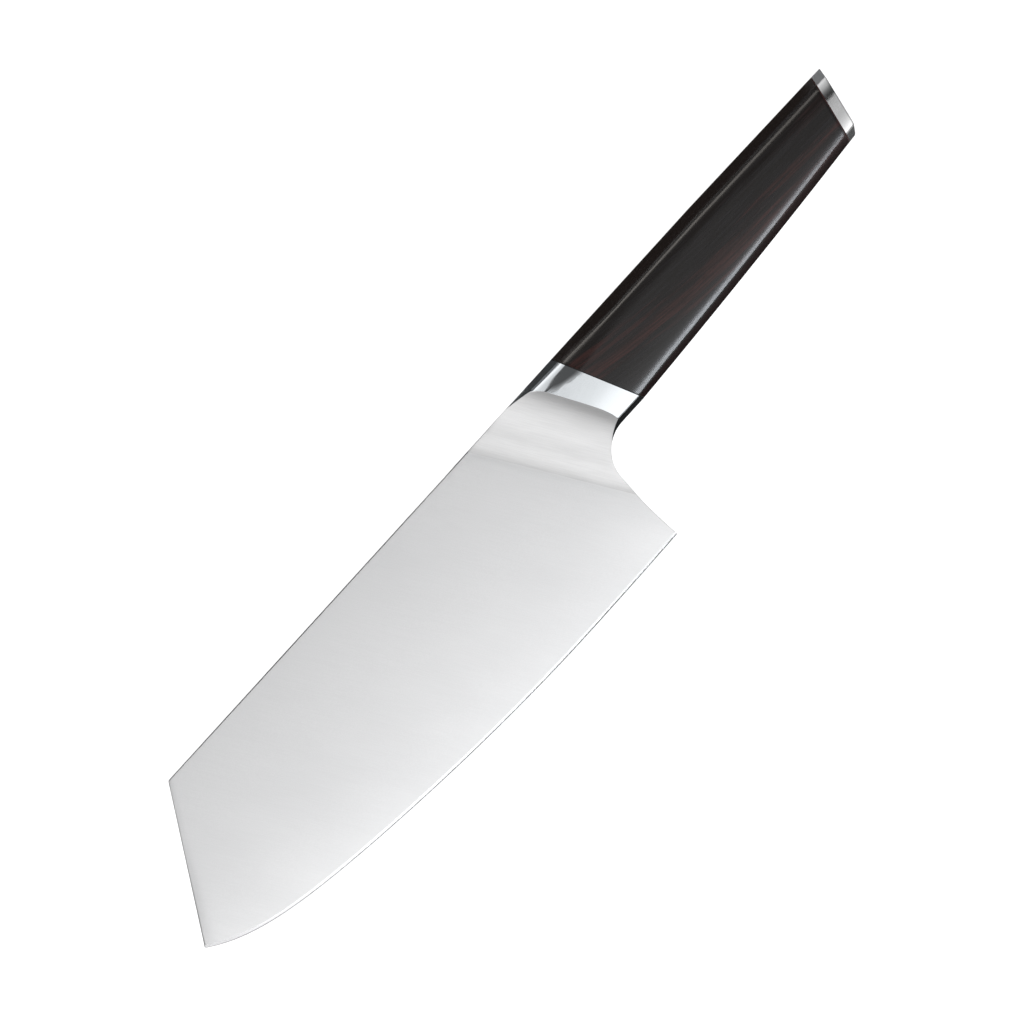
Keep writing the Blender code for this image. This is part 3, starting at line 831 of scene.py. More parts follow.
@dataclass(frozen=True)
class HandleSection:
    """Octagonal section with crowned sides, and the handle's side view."""

    half: float = 9.0 * MM
    spine_flat: float = 4.1 * MM
    belly_flat: float = 3.6 * MM
    front_chamfer: float = 2.42 * MM
    front_lean: float = 0.065
    front_lean_reach: float = 11.0 * MM
    upper_chamfer: float = 3.45 * MM
    butt_upper_chamfer: float = 3.05 * MM
    front_ridge_drop: float = 0.80 * MM
    front_edge_drop: float = 0.30 * MM
    ridge_drop: float = 0.32 * MM
    butt_ridge_drop: float = 0.66 * MM
    settle_run: float = 24.0 * MM
    apex_drop: float = 8.2 * MM
    butt_apex_gain: float = 0.40 * MM
    apex_lean: float = 0.28
    apex_overrun: float = 2.3 * MM
    apex_run: float = 3.0 * MM
    apex_rounding: float = 0.3 * MM
    front_power: float = 1.15
    upper_power: float = 3.0
    butt_power: float = 2.0
    edge_power: float = 8.0
    front_lower_chamfer: float = 1.48 * MM
    lower_chamfer: float = 1.80 * MM
    butt_lower_chamfer: float = 2.15 * MM
    lower_crown: float = 1.12 * MM
    lower_power: float = 6.0
    butt_lower_power: float = 3.6
    butt_lower_gain: float = 0.5
    crown_run: float = 17.62 * MM
    joint_x: float = 12.5 * MM
    joint_angle: float = math.radians(20.0)
    bolster_depth: float = 27.3 * MM
    butt_depth: float = 20.7 * MM
    belly_start: float = 22.0 * MM
    belly_swell: float = 0.5 * MM
    bend_x: float = 71.5 * MM
    top_dip: float = 0.75 * MM
    butt_x: float = 127.13 * MM
    butt_angle: float = math.radians(16.5)
    cap_thickness: float = 3.47 * MM
    steps: int = 40
    plane_rounds: int = 8
    points: tuple[int, ...] = (3, 5, 16, 24, 4, 3)

    def top_y(self, x: np.ndarray) -> np.ndarray:
        """Upper outline's y: level, then a straight dip to the butt."""
        return -self.top_dip * np.clip((x - self.bend_x) / (self.butt_x - self.bend_x), 0.0, None)

    def belly_y(self, x: np.ndarray) -> np.ndarray:
        """Give the lower outline: level, then rising to the butt in a slight parabolic bow.

        Args:
            x: Places along the handle.

        Returns:
            y of the outline at each place.
        """
        u = np.clip((x - self.belly_start) / (self.butt_x - self.belly_start), 0.0, None)
        rise = (self.bolster_depth - self.butt_depth) * u
        return -self.bolster_depth + rise - 4 * self.belly_swell * u * (1 - u)

    def joint(self, y: np.ndarray) -> np.ndarray:
        """x of the joint between bolster and wood."""
        return self.joint_x - y * math.tan(self.joint_angle)

    def butt(self, y: np.ndarray, depth: float) -> np.ndarray:
        """x of a plane beside the butt's end, the given depth in front of it."""
        return self.butt_x - depth / math.cos(self.butt_angle) + y * math.tan(self.butt_angle)

    def settled(self, x: np.ndarray) -> np.ndarray:
        """Share of the way from the bolster's section to the wood's, in a smooth step."""
        share = np.clip((np.asarray(x, float) - self.joint_x) / self.settle_run, 0.0, 1.0)
        return share * share * (3.0 - 2.0 * share)

    def backward(self, x: np.ndarray) -> np.ndarray:
        """Share of the way from the joint to the butt."""
        return np.clip((np.asarray(x, float) - self.joint_x) / (self.butt_x - self.joint_x), 0.0, 1.0)

    def ridge_inset(self, x: np.ndarray) -> np.ndarray:
        """Give the upper ridge's inset from the top outline, which grows away from the blade.

        Args:
            x: Places along the handle.

        Returns:
            The inset at each place.
        """
        ahead = np.clip(self.joint_x - x, 0.0, self.front_lean_reach)
        front = self.front_chamfer - self.front_lean * ahead
        late = (self.butt_upper_chamfer - self.upper_chamfer) * self.backward(x) ** 2
        return front + (self.upper_chamfer - self.front_chamfer) * self.settled(x) + late

    def lower_inset(self, x: np.ndarray) -> np.ndarray:
        """Give the lower ridge's inset from the lower outline.

        Args:
            x: Places along the handle.

        Returns:
            The inset at each place.
        """
        early = (self.lower_chamfer - self.front_lower_chamfer) * self.settled(x)
        late = (self.butt_lower_chamfer - self.lower_chamfer) * self.backward(x)
        return self.front_lower_chamfer + early + late

    def apex_inset(self, x: np.ndarray) -> np.ndarray:
        """Inset of the highest line of the side, which falls a little towards the butt."""
        return self.apex_drop + self.butt_apex_gain * self.backward(x)

    def upper_insets(self, plane: Callable[[np.ndarray], np.ndarray]) -> np.ndarray:
        """Give the insets of the upper half's points: the flat's ends, the ridge and the crown.

        Args:
            plane: x of the section's surface for each y.

        Returns:
            The inset of each point.
        """
        crown = np.linspace(1.0, 0.0, self.steps)
        # The flat's middle and end share the inset 0, and the ridge is where the crown starts.
        apex = float(self.apex_inset(plane(-self.apex_drop)))
        run = apex - float(self.ridge_inset(plane(-self.front_chamfer)))
        return np.concatenate([[0.0, 0.0], apex - run * crown])

    def upper_heights(self, inset: np.ndarray, x: np.ndarray) -> np.ndarray:
        """Give the heights of the upper crown.

        Formula: the side's height less a drop that is a power of the distance from the crown's
        apex, and on the bolster less a second, late drop beside the ridge.  At the ridge the drop
        is large on the bolster, shrinks over the first part of the wood, and grows again evenly
        to the butt; the apex runs away from the spine on the bolster.

        Args:
            inset: Insets from the top outline, no less than the ridge's.
            x: Where each point lies.

        Returns:
            The height of each point.
        """
        settled = self.settled(x)
        drop = self.front_ridge_drop + (self.ridge_drop - self.front_ridge_drop) * settled
        drop = drop + (self.butt_ridge_drop - self.ridge_drop) * self.backward(x)
        power = self.front_power + (self.upper_power - self.front_power) * settled
        power = power + (self.butt_power - self.upper_power) * self.backward(x) ** 4
        ahead = self.joint_x + self.apex_overrun - np.asarray(x, float)
        apex = self.apex_inset(x) - np.clip(self.apex_lean * ahead, 0.0, self.apex_run)
        share = np.clip((apex - inset) / (apex - self.ridge_inset(x)), 0.0, 1.0)
        edge = self.front_edge_drop * (1.0 - settled) * share ** self.edge_power
        return self.half - drop * share ** power - edge

    def lower_profile(self, x: float) -> tuple[np.ndarray, np.ndarray, np.ndarray]:
        """Give the section from the middle of the belly flat to the highest point of the side.

        Formula: a flat, a straight chamfer and a crown whose run is left open, because it grows
        and shrinks with the handle's depth.

        Args:
            x: Where the section's lower ridge lies.

        Returns:
            Fixed inset, share of the crown's run, and share of the way up to the apex.
        """
        crown = np.linspace(1.0, 0.0, self.steps)
        fixed = np.concatenate([[0.0, 0.0], np.full(self.steps, float(self.lower_inset(x)))])
        share = np.concatenate([[0.0, 0.0], 1.0 - crown])
        return fixed, share, np.concatenate([[0.0, 0.0], crown])

    def lower_heights(self, run: np.ndarray, crown: np.ndarray, x: np.ndarray) -> np.ndarray:
        """Give the heights of the lower profile.

        Formula: the side's height less a drop that grows and shrinks with the crown's run, times
        a power of the distance from the apex; towards the butt the power falls and the drop grows.

        Args:
            run: The crown's run at each point.
            crown: Share of the way from the apex to the lower ridge.
            x: Where each point lies.

        Returns:
            The height of each point.
        """
        late = self.backward(x) ** 4
        ridge_drop = self.lower_crown * run / self.crown_run * (1.0 + self.butt_lower_gain * late)
        heights = self.half - ridge_drop * crown ** (
            self.lower_power + (self.butt_lower_power - self.lower_power) * late)
        heights[0] = 0.0
        heights[1] = self.belly_flat
        return heights

    def half_section(self, plane: Callable[[np.ndarray], np.ndarray]) -> np.ndarray:
        """Give the half section where a plane cuts the handle.

        Formula: y is the outline's y less the inset, at the x that the plane has there, found by
        putting each y back into the plane a few times.

        Args:
            plane: x of the plane for each y.

        Returns:
            Points from the middle of the spine flat to the middle of the belly flat.
        """
        upper_inset = self.upper_insets(plane)
        fixed, share, crown = self.lower_profile(float(plane(-self.butt_depth)))
        upper_y = -upper_inset
        lower_y = np.full(len(fixed), -self.bolster_depth)
        for _ in range(self.plane_rounds):
            upper_y = self.top_y(plane(upper_y)) - upper_inset
            x = plane(lower_y)
            run = self.top_y(x) - self.belly_y(x) - upper_inset[-1] - fixed[-1]
            lower_y = self.belly_y(x) + fixed + share * run
        lower_z = self.lower_heights(run, crown, plane(lower_y))
        upper_z = self.upper_heights(upper_inset, plane(upper_y))
        upper_z[:2] = 0.0, self.spine_flat
        upper = np.column_stack([plane(upper_y), upper_y, upper_z])
        lower = np.column_stack([plane(lower_y), lower_y, lower_z])
        return np.vstack([upper[:-1], lower[::-1]])

    def keys(self) -> list[int]:
        """Indices of the ends and corners in a half section."""
        last = 2 * self.steps + 2
        return [0, 1, 2, self.steps + 1, last - 2, last - 1, last]

    def rounded(self, plane: Callable[[np.ndarray], np.ndarray], flat: float, ridge: float,
                lower: float) -> np.ndarray:
        """Give the half section where a plane cuts the handle, with its corners rounded.

        Args:
            plane: x of the plane for each y.
            flat: Rounding of the flats' corners.
            ridge: Rounding of the upper ridge.
            lower: Rounding of the lower ridge.

        Returns:
            The rounded half section.
        """
        rounding = [flat, flat, ridge, self.apex_rounding, lower, flat, flat]
        return round_and_resample(self.half_section(plane), self.keys(), rounding, self.points)


@dataclass
class Blade:
    """The blade, with its bevel, its eased borders and the tang behind it."""

    plan: BladePlan
    origin: Vector
    bevel: float = 0.95 * MM
    heel_micro_bevel: float = 0.42 * MM
    tip_micro_bevel: float = 0.13 * MM
    micro_slope: float = 0.54
    micro_power: float = 0.8
    edge_roundings: tuple[float, float] = (0.03 * MM, 0.02 * MM)
    spine_rounding: float = 0.5 * MM
    front_rounding: float = 0.28 * MM
    back_rounding: float = 0.16 * MM
    corner_rounding: float = 0.6 * MM
    tip_rounding: float = 0.30 * MM
    front_wash: float = 0.085 * MM
    front_wash_reach: float = 3.4 * MM
    front_wash_least: float = 0.30
    front_wash_rise: tuple[float, float] = (0.35, 0.4)
    thinnest_half: float = 0.04 * MM
    front_rows: tuple[float, ...] = (0, .03, .1, .2, .34, .5, .7, .95, 1.25, 1.7, 2.3, 3.0)
    edge_steps: int = 170
    edge_power: float = 1.25
    back_rows: int = 24
    raw_points: int = 60
    points: tuple[int, ...] = (3, 30, 2, 2)
    tenon_half: float = 0.5 * MM
    tenon_start: float = -3.0 * MM
    tang_half: float = 1.5 * MM
    tang_drop: float = 11.8 * MM
    tang_root_width: float = 14.0 * MM
    tang_end_width: float = 11.0 * MM
    tang_end_x: float = 88.0 * MM
    tang_start: float = 10.0 * MM
    stud_radius: float = 2.3 * MM
    notch_length: float = 9.0 * MM
    piece: bpy.types.Object | None = field(default=None, init=False)

    def stations(self) -> list[tuple[np.ndarray, np.ndarray, Border, float]]:
        """List the lines across the blade, front to back, closest together beside the front.

        Returns:
            Upper end, lower end, what the lower end lies on, and distance behind the front.
        """
        plan = self.plan
        slope = math.tan(plan.foot_angle)
        heel_y = float(plan.edge_y(0.0))
        front = np.array([-plan.length + plan.spine_length, -plan.tip_drop])
        down = front / np.linalg.norm(front)
        span = plan.length
        start = np.array(self.front_rows) * MM / span
        rest = np.linspace(0, 1, self.edge_steps + 1) ** self.edge_power
        shares = np.concatenate([start, rest[rest > start[-1] * 1.4]])
        lines = []
        for t in shares:
            upper = np.array([-plan.spine_length + (plan.spine_length + heel_y * slope) * t, 0.0])
            x = -plan.length * (1 - t)
            lower = np.array([x, float(plan.edge_y(x))])
            behind = t * span
            upper = upper + down * float(ease(behind, self.corner_rounding))
            lower = lower - down * float(ease(behind, self.tip_rounding))
            lines.append((upper, lower, Border.EDGE, behind))
        for point in self.back_points():
            upper = np.array([point[0] + point[1] * slope, 0.0])
            lines.append((upper, point, Border.BACK, span))
        return lines

    def back_points(self) -> list[np.ndarray]:
        """Give the points of the heel's back, up to the ramp's foot.

        Formula: straight up from the heel, and a parabolic bend into the leaning line.

        Returns:
            Points in plan.
        """
        plan = self.plan
        heel_y = float(plan.edge_y(0.0))
        foot_y = float(plan.border_y(0.0, np.array(0.0)))
        ys = np.concatenate([heel_y + np.array([0.15, 0.5]) * MM,
                             np.linspace(heel_y + MM, foot_y, self.back_rows)])
        over = ys - plan.lean_start()
        bend = plan.heel_bend
        soft = np.where(over < -bend, 0.0, (over + bend) ** 2 / (4 * bend))
        soft = np.where(over > bend, over, soft)
        points = [np.array([x, y]) for x, y in zip(math.tan(plan.choil_lean) * soft, ys)]
        points[-1] = np.array([float(plan.behind_foot(0.0, foot_y)), foot_y])
        return points

    def half_section(self, upper: np.ndarray, lower: np.ndarray, border: Border,
                     behind: float) -> np.ndarray:
        """Give the rounded half section along one line across the blade.

        Formula: the grind's half thickness at each place along the line, less a square that fades
        out behind the front border, the wash that the belt leaves there, and less the easing of
        that border.  On the edge it ends in a straight bevel with a narrow, blunter honed strip,
        whose half thickness is its slope times its width, and elsewhere in an upright wall.

        Args:
            upper: The line's end on the spine.
            lower: Its other end.
            border: What the other end lies on.
            behind: Distance behind the front border.

        Returns:
            Points from the middle of the spine wall to the edge or the middle of the back.
        """
        plan = self.plan
        length = np.linalg.norm(lower - upper)
        along_edge = border is Border.EDGE
        last = 1.0 - self.bevel / length if along_edge else 1.0
        share = np.linspace(0.0, last, self.raw_points)
        xy = upper + (lower - upper) * share[:, None]
        wash = self.front_wash_reach * (0.8 + 0.4 * share)
        start, run = self.front_wash_rise
        grown = np.clip((share - start) / run, 0.0, 1.0)
        most = self.front_wash_least + (1.0 - self.front_wash_least) * grown
        washed = self.front_wash * most * np.clip(1.0 - behind / wash, 0.0, 1.0) ** 2
        rounded = float(ease(behind, self.front_rounding))
        ground = plan.half_thickness(xy[:, 0], xy[:, 1])
        z = np.maximum(ground - washed - rounded, self.thinnest_half)
        face = np.column_stack([xy, z])
        if along_edge:
            back = np.clip(1.0 + lower[0] / plan.length, 0.0, 1.0) ** self.micro_power
            micro = self.tip_micro_bevel + (self.heel_micro_bevel - self.tip_micro_bevel) * back
            honed = upper + (lower - upper) * (1.0 - micro / length)
            face = np.vstack([face, [*honed, min(self.micro_slope * micro, 0.9 * z[-1])]])
        raw = np.vstack([[*xy[0], 0.0], face, [*lower, 0.0]])
        spine = min(self.spine_rounding, WALL_SHARE * z[0])
        corner = min(self.back_rounding, WALL_SHARE * z[-1])
        bevel, strip = self.edge_roundings if along_edge else (corner, corner)
        last = len(raw) - 1
        return round_and_resample(raw, [0, 1, last - 2, last - 1, last],
                                  [spine, spine, bevel, strip, 0.0], self.points)

    def build(self) -> bpy.types.Object:
        """Build the blade's solid and join the tenon and the tang to it.

        Returns:
            The blade.
        """
        lines = self.stations()
        halves = np.array([self.half_section(*line) for line in lines])
        keys = points_per_section(self.points)
        slots = np.zeros((len(halves) - 1, halves.shape[1] - 1), dtype=np.int32)
        on_edge = np.array([line[2] is Border.EDGE for line in lines])[:-1]
        slots[np.ix_(on_edge, np.arange(keys[2], keys[4]))] = 1
        satin = SatinSteel("satin_blade_steel").material()
        honed = PolishedSteel("honed_edge_steel", color=(0.5, 0.5, 0.505),
                              roughness=0.24).material()
        self.piece = skin("knife_blade", halves, self.origin, slots, [satin, honed])
        self.join_tang()
        smooth(self.piece)
        return self.piece

    def join_tang(self) -> None:
        """Join the hidden tenon and tang to the blade and cut the stud's notch."""
        root = self.tang_root_width / 2
        end = self.tang_end_width / 2
        high, low = root - self.tang_drop, -root - self.tang_drop
        foot = self.plan.behind_foot
        front, overlap = self.tenon_start, self.tang_start + MM
        tenon = [(foot(front, high), high), (foot(overlap, high), high),
                 (foot(overlap, low), low), (foot(front, low), low)]
        carve(self.piece, plate("tenon", tenon, self.tenon_half, self.origin), 'UNION')
        tang = [(foot(self.tang_start, high), high), (self.tang_end_x, end - self.tang_drop),
                (self.tang_end_x, -end - self.tang_drop), (foot(self.tang_start, low), low)]
        carve(self.piece, plate("tang", tang, self.tang_half, self.origin), 'UNION')
        start, stop = self.tang_end_x - self.notch_length, self.tang_end_x + MM
        above, below = self.stud_radius - self.tang_drop, -self.stud_radius - self.tang_drop
        notch = [(start, above), (stop, above), (stop, below), (start, below)]
        carve(self.piece, plate("notch", notch, 2 * self.tang_half, self.origin))


@dataclass
class Bolster:
    """The steel collar: hollow-ground ramps that run out through an octagonal section."""

    plan: BladePlan
    section: HandleSection
    origin: Vector
    ramp_radius: float = 35.6 * MM
    ramp_radius_loss: float = 4.6 * MM
    foot_spine_rounding: float = 0.5 * MM
    foot_back_rounding: float = 0.16 * MM
    ramp_rounding: float = 0.10 * MM
    ridge_rounding: float = 1.45 * MM
    lower_rounding: float = 0.20 * MM
    flat_rounding: float = 0.22 * MM
    foot_fade: float = 12.0 * MM
    meeting_reach: float = 1.2 * MM
    cut_margin: float = 0.3 * MM
    arris_drop: float = 0.04 * MM
    arris_setback: float = 0.03 * MM
    run_range: tuple[float, float] = (0.5, 0.75)
    halvings: int = 30
    finer: int = 8
    ramp_points: int = 24
    ramp_rows: int = 84
    row_power: float = 1.5
    collar_rows: int = 14
    points: tuple[int, ...] = (3, 5, 40, 30, 18, 4, 3)
    ramp_run: float = field(default=0.0, init=False)
    piece: bpy.types.Object | None = field(default=None, init=False)

    def ramp_height(self, distance: float, y: np.ndarray) -> np.ndarray:
        """Give the ramp's height at a distance behind its foot.

        Formula: the blade's half thickness where the line of y crosses the foot, plus the sagitta
        of a circle: radius less the root of radius squared less distance squared.  The radius
        shrinks evenly from the spine to the belly, as the belt runs off.

        Args:
            distance: Distance behind the foot.
            y: Places across.

        Returns:
            The height for each y.
        """
        y = np.asarray(y, float)
        turn = math.sin(self.plan.foot_angle)
        foot_y = np.minimum(y - distance * turn, 0.0)
        foot = self.plan.half_thickness(self.plan.behind_foot(0.0, foot_y), foot_y)
        down = np.clip(-y / self.plan.bolster_depth, 0, 1)
        radius = self.ramp_radius - self.ramp_radius_loss * down
        return foot + radius - np.sqrt(radius ** 2 - distance ** 2)

    def octagon(self, distance: float) -> tuple[np.ndarray, list[int]]:
        """Give the whole uncut side profile in a plane beside the foot.

        Args:
            distance: Distance behind the ramp's foot.

        Returns:
            y and z from the middle of the spine flat to the middle of the belly flat, and the
            indices of both ends and of the corners.
        """
        plane = partial(self.plan.behind_foot, distance)
        upper_inset = self.section.upper_insets(plane)
        upper_z = self.section.upper_heights(upper_inset, plane(-upper_inset))
        upper_z[:2] = 0.0, self.section.spine_flat
        fixed, share, crown = self.section.lower_profile(0.0)
        run = self.section.crown_run
        lower_z = self.section.lower_heights(run, crown, np.zeros(len(crown)))
        lower_y = self.plan.border_y(distance, fixed + share * run)
        y = np.concatenate([-upper_inset[:-1], lower_y[::-1]])
        z = np.concatenate([upper_z[:-1], lower_z[::-1]])
        last = len(y) - 1
        return np.column_stack([y, z]), [0, 1, 2, last - 2, last - 1, last]

    def crossings(self, y: np.ndarray, z: np.ndarray, distance: float) -> tuple[float, float]:
        """Find where the ramp cuts the side profile, as places along it.

        Formula: the first and the last sign change of profile height less ramp height, each
        placed on the straight line between its two points.  Where the ramp lies above the whole
        profile, both are the place where it came nearest as it left.

        Args:
            y: The profile's y.
            z: The profile's height.
            distance: Distance behind the ramp's foot.

        Returns:
            Index, with a fraction, of the first and the last crossing.
        """
        over = z - self.ramp_height(min(distance, self.ramp_run), y)
        above = np.flatnonzero(over > 0.0)
        if not len(above):
            nearest = float(np.argmax(over))
            return nearest, nearest
        first, last = int(above[0]), int(above[-1])
        start = first - over[first] / (over[first] - over[first - 1])
        return start, last + over[last] / (over[last] - over[last + 1])

    def fine_octagon(self, distance: float) -> tuple[np.ndarray, np.ndarray]:
        """Give the side profile at several places for each of its points.

        Args:
            distance: Distance behind the ramp's foot.

        Returns:
            y and height at each place.
        """
        profile, _ = self.octagon(distance)
        index = np.arange(len(profile), dtype=float)
        fine = np.linspace(0.0, index[-1], self.finer * (len(profile) - 1) + 1)
        return np.interp(fine, index, profile[:, 0]), np.interp(fine, index, profile[:, 1])

    def find_run(self) -> float:
        """Find how far behind its foot the ramp leaves the side profile, by halving a range.

        Returns:
            The distance.
        """
        low, high = (share * self.ramp_radius for share in self.run_range)
        for _ in range(self.halvings):
            middle = (low + high) / 2
            y, z = self.fine_octagon(middle)
            if np.any(z > self.ramp_height(middle, y)):
                low = middle
            else:
                high = middle
        return high

    def half_section(self, distance: float) -> tuple[np.ndarray, list[int]]:
        """Give the raw half section in a plane that lies the given distance behind the foot.

        Args:
            distance: Distance behind the ramp's foot.

        Returns:
            Points from the middle of the spine side to the middle of the belly side, and the
            indices of the ends, the corners and the ramp's two borders.
        """
        profile, corners = self.octagon(distance)
        index = np.arange(len(profile), dtype=float)
        y, z = self.fine_octagon(distance)
        start, end = (place / self.finer for place in self.crossings(y, z, distance))
        steps = self.section.steps
        stops = [0.0, min(1.0, start), min(2.0, start), start]
        fine = 3 * steps
        places = [np.linspace(a, b, n, endpoint=False)
                  for a, b, n in zip(stops, stops[1:], (1, 1, fine))]
        back = [end, *(max(float(corner), end) for corner in corners[3:])]
        tail = [np.linspace(a, b, n, endpoint=False)
                for a, b, n in zip(back, back[1:], (steps, 1, 1))]
        before, after = np.concatenate(places), np.concatenate([*tail, back[-1:]])
        ramp_y = np.linspace(np.interp(start, index, profile[:, 0]),
                             np.interp(end, index, profile[:, 0]), self.ramp_points)
        ramp_z = np.minimum(self.ramp_height(distance, ramp_y), self.section.half)
        y = np.concatenate([np.interp(before, index, profile[:, 0]), ramp_y,
                            np.interp(after, index, profile[:, 0])[1:]])
        z = np.concatenate([np.interp(before, index, profile[:, 1]), ramp_z,
                            np.interp(after, index, profile[:, 1])[1:]])
        last = len(y) - 1
        first = fine + 2
        keys = [0, 1, 2, first, first + self.ramp_points - 1, last - 2, last - 1, last]
        return np.column_stack([self.plan.behind_foot(distance, y), y, z]), keys

    def rounded(self, raw: np.ndarray, keys: list[int], distance: float) -> np.ndarray:
        """Round a raw half section: softly at the ridges, crisply where the ramp cuts them.

        Args:
            raw: The raw half section.
            keys: Indices of its ends, its corners and the ramp's two borders.
            distance: Distance behind the ramp's foot.

        Returns:
            The rounded half section.
        """
        ramp_start, ramp_end = keys[3], keys[4]
        fade = np.clip(1.0 - distance / self.foot_fade, 0.0, 1.0)
        first = self.ramp_rounding + (self.foot_spine_rounding - self.ramp_rounding) * fade
        second = self.ramp_rounding + (self.foot_back_rounding - self.ramp_rounding) * fade
        own = [self.flat_rounding, self.flat_rounding, self.ridge_rounding, first, second,
               self.lower_rounding, self.flat_rounding, self.flat_rounding]
        rounding = []
        for k, (key, reach) in enumerate(zip(keys, own)):
            meeting, other = (ramp_start, first) if k < 4 else (ramp_end, second)
            gap = float(np.linalg.norm(raw[key] - raw[meeting]))
            weight = min(1.0, gap / self.meeting_reach)
            rounding.append(other + (reach - other) * weight)
        rounding[:2] = [min(rounding[1], WALL_SHARE * raw[1][2])] * 2
        rounding[-2:] = [min(rounding[-2], WALL_SHARE * raw[-2][2])] * 2
        return round_and_resample(raw, keys, rounding, self.points)

    def build(self) -> bpy.types.Object:
        """Build the collar's solid, from the ramp's foot to the joint with the wood.

        Returns:
            The collar.
        """
        self.ramp_run = ramp_end = self.find_run()
        share = 1.0 - (1.0 - np.linspace(0.0, 1.0, self.ramp_rows)) ** self.row_power
        rows = [self.rounded(*self.half_section(d), d) for d in ramp_end * share]
        plan, section = self.plan, self.section
        for w in np.linspace(0.0, 1.0, self.collar_rows)[1:]:
            raw, keys = self.half_section(ramp_end)

            def plane(y: np.ndarray, w: float = w) -> np.ndarray:
                """x of this row's surface."""
                return (1 - w) * plan.behind_foot(ramp_end, y) + w * section.joint(y)

            # The crown above the apex is stretched so that its ridge meets the wood's.
            crown = np.flatnonzero(-raw[:, 1] <= section.apex_drop)[2:]
            ridge = float(section.upper_insets(plane)[2])
            grown = (section.apex_drop - ridge) / (section.apex_drop + raw[crown[0], 1])
            raw[crown, 1] = -section.apex_drop + grown * (raw[crown, 1] + section.apex_drop)
            raw[:, 0] = plane(raw[:, 1])
            raw[crown, 2] = section.upper_heights(-raw[crown, 1], raw[crown, 0])
            rows.append(self.rounded(raw, keys, ramp_end))
        halves = np.array(rows)
        halves = np.concatenate([halves, self.eased_end(halves[-1])[None]])
        keys = points_per_section(self.points)
        slots = np.ones((len(halves) - 1, halves.shape[1] - 1), dtype=np.int32)
        slots[:self.ramp_rows - 1, keys[3]:keys[4]] = 0
        # A wall that the ramp still narrows belongs to the blade's satin finish.
        side = halves[:-1, keys[1], 2] < section.spine_flat - self.cut_margin
        slots[np.ix_(side, np.arange(0, keys[1] + 1))] = 0
        back = halves[:-1, keys[6], 2] < section.belly_flat - self.cut_margin
        slots[np.ix_(back, np.arange(keys[6], keys[7]))] = 0
        satin = SatinSteel("satin_ramp_steel", color=(0.555, 0.555, 0.558), line_share=0.8,
                           contrast=0.04).material()
        polished = PolishedSteel("polished_bolster_steel").material()
        self.piece = skin("steel_bolster", halves, self.origin, slots, [satin, polished])
        smooth(self.piece)
        return self.piece

    def eased_end(self, last: np.ndarray) -> np.ndarray:
        """Last ring again, drawn in a hair and set back, for the arris at the joint."""
        smaller = shrink(last, self.arris_drop, self.section.joint)
        return smaller + np.array([self.arris_setback, 0.0, 0.0])


def shrink(half: np.ndarray, amount: float,
           plane: Callable[[np.ndarray], np.ndarray]) -> np.ndarray:
    """Draw a half section in towards its middle by an amount.

    Formula: each point's distance from the middle times one less the amount over the half size.

    Args:
        half: The half section.
        amount: How far each side moves in.
        plane: x of the surface that the section lies in, for each y.

    Returns:
        The smaller half section, still in its surface.
    """
    y = half[:, 1]
    middle = (y.max() + y.min()) / 2
    height = (y.max() - y.min()) / 2
    smaller = half.copy()
    smaller[:, 1] = middle + (y - middle) * (1 - amount / height)
    smaller[:, 2] = half[:, 2] * (1 - amount / half[:, 2].max())
    smaller[:, 0] = half[:, 0] + plane(smaller[:, 1]) - plane(y)
    return smaller


@dataclass
class HandleBlock:
    """The hardwood block between the bolster and the cap, whose bores are the solid's alone."""

    section: HandleSection
    origin: Vector
    rows: int = 90
    joint_gap: float = 0.02 * MM
    arris: float = 0.14 * MM
    arris_rows: tuple[float, ...] = (0.0, 0.25, 0.6, 1.0)
    front_ridge_rounding: float = 1.45 * MM
    ridge_rounding: float = 1.15 * MM
    butt_ridge_rounding: float = 2.00 * MM
    butt_ridge_power: float = 1.5
    lower_rounding: float = 0.26 * MM
    flat_rounding: float = 0.45 * MM
    piece: bpy.types.Object | None = field(default=None, init=False)

    def ring(self, plane: Callable[[np.ndarray], np.ndarray]) -> np.ndarray:
        """Give the rounded half section in a plane, whose ridge is softest at both ends.

        Args:
            plane: x of the plane for each y.

        Returns:
            The rounded half section.
        """
        section, middle = self.section, self.ridge_rounding
        x = float(plane(-section.upper_chamfer))
        front = (self.front_ridge_rounding - middle) * (1.0 - float(section.settled(x)))
        late = float(section.backward(x)) ** self.butt_ridge_power
        ridge = middle + front + (self.butt_ridge_rounding - middle) * late
        return section.rounded(plane, self.flat_rounding, ridge, self.lower_rounding)

    def build(self, wood: bpy.types.Material) -> bpy.types.Object:
        """Build the block's solid between the bolster and the cap.

        Args:
            wood: The wood's material.

        Returns:
            The block.
        """
        section = self.section
        start, stop = self.joint_gap, section.cap_thickness + self.joint_gap
        ends = np.array(self.arris_rows) * self.arris
        depth = np.concatenate([ends, np.linspace(ends[-1], 1.0, self.rows)[1:-1], 1.0 - ends[::-1]])
        rows = []
        for k, place in enumerate(depth):
            near_front, near_back = k < len(ends), k >= len(depth) - len(ends)
            share = 0.0 if near_front else 1.0 if near_back else place
            offset = place if near_front else place - 1.0 if near_back else 0.0

            def plane(y: np.ndarray, share: float = share, offset: float = offset) -> np.ndarray:
                """x of this row's plane."""
                front = section.joint(y) + start
                return front + (section.butt(y, stop) - front) * share + offset

            inset = float(ease(abs(offset), self.arris)) if near_front or near_back else 0.0
            rows.append(shrink(self.ring(plane), inset, plane))
        self.piece = skin("ebony_handle_block", np.array(rows), self.origin, None, [wood])
        smooth(self.piece)
        return self.piece


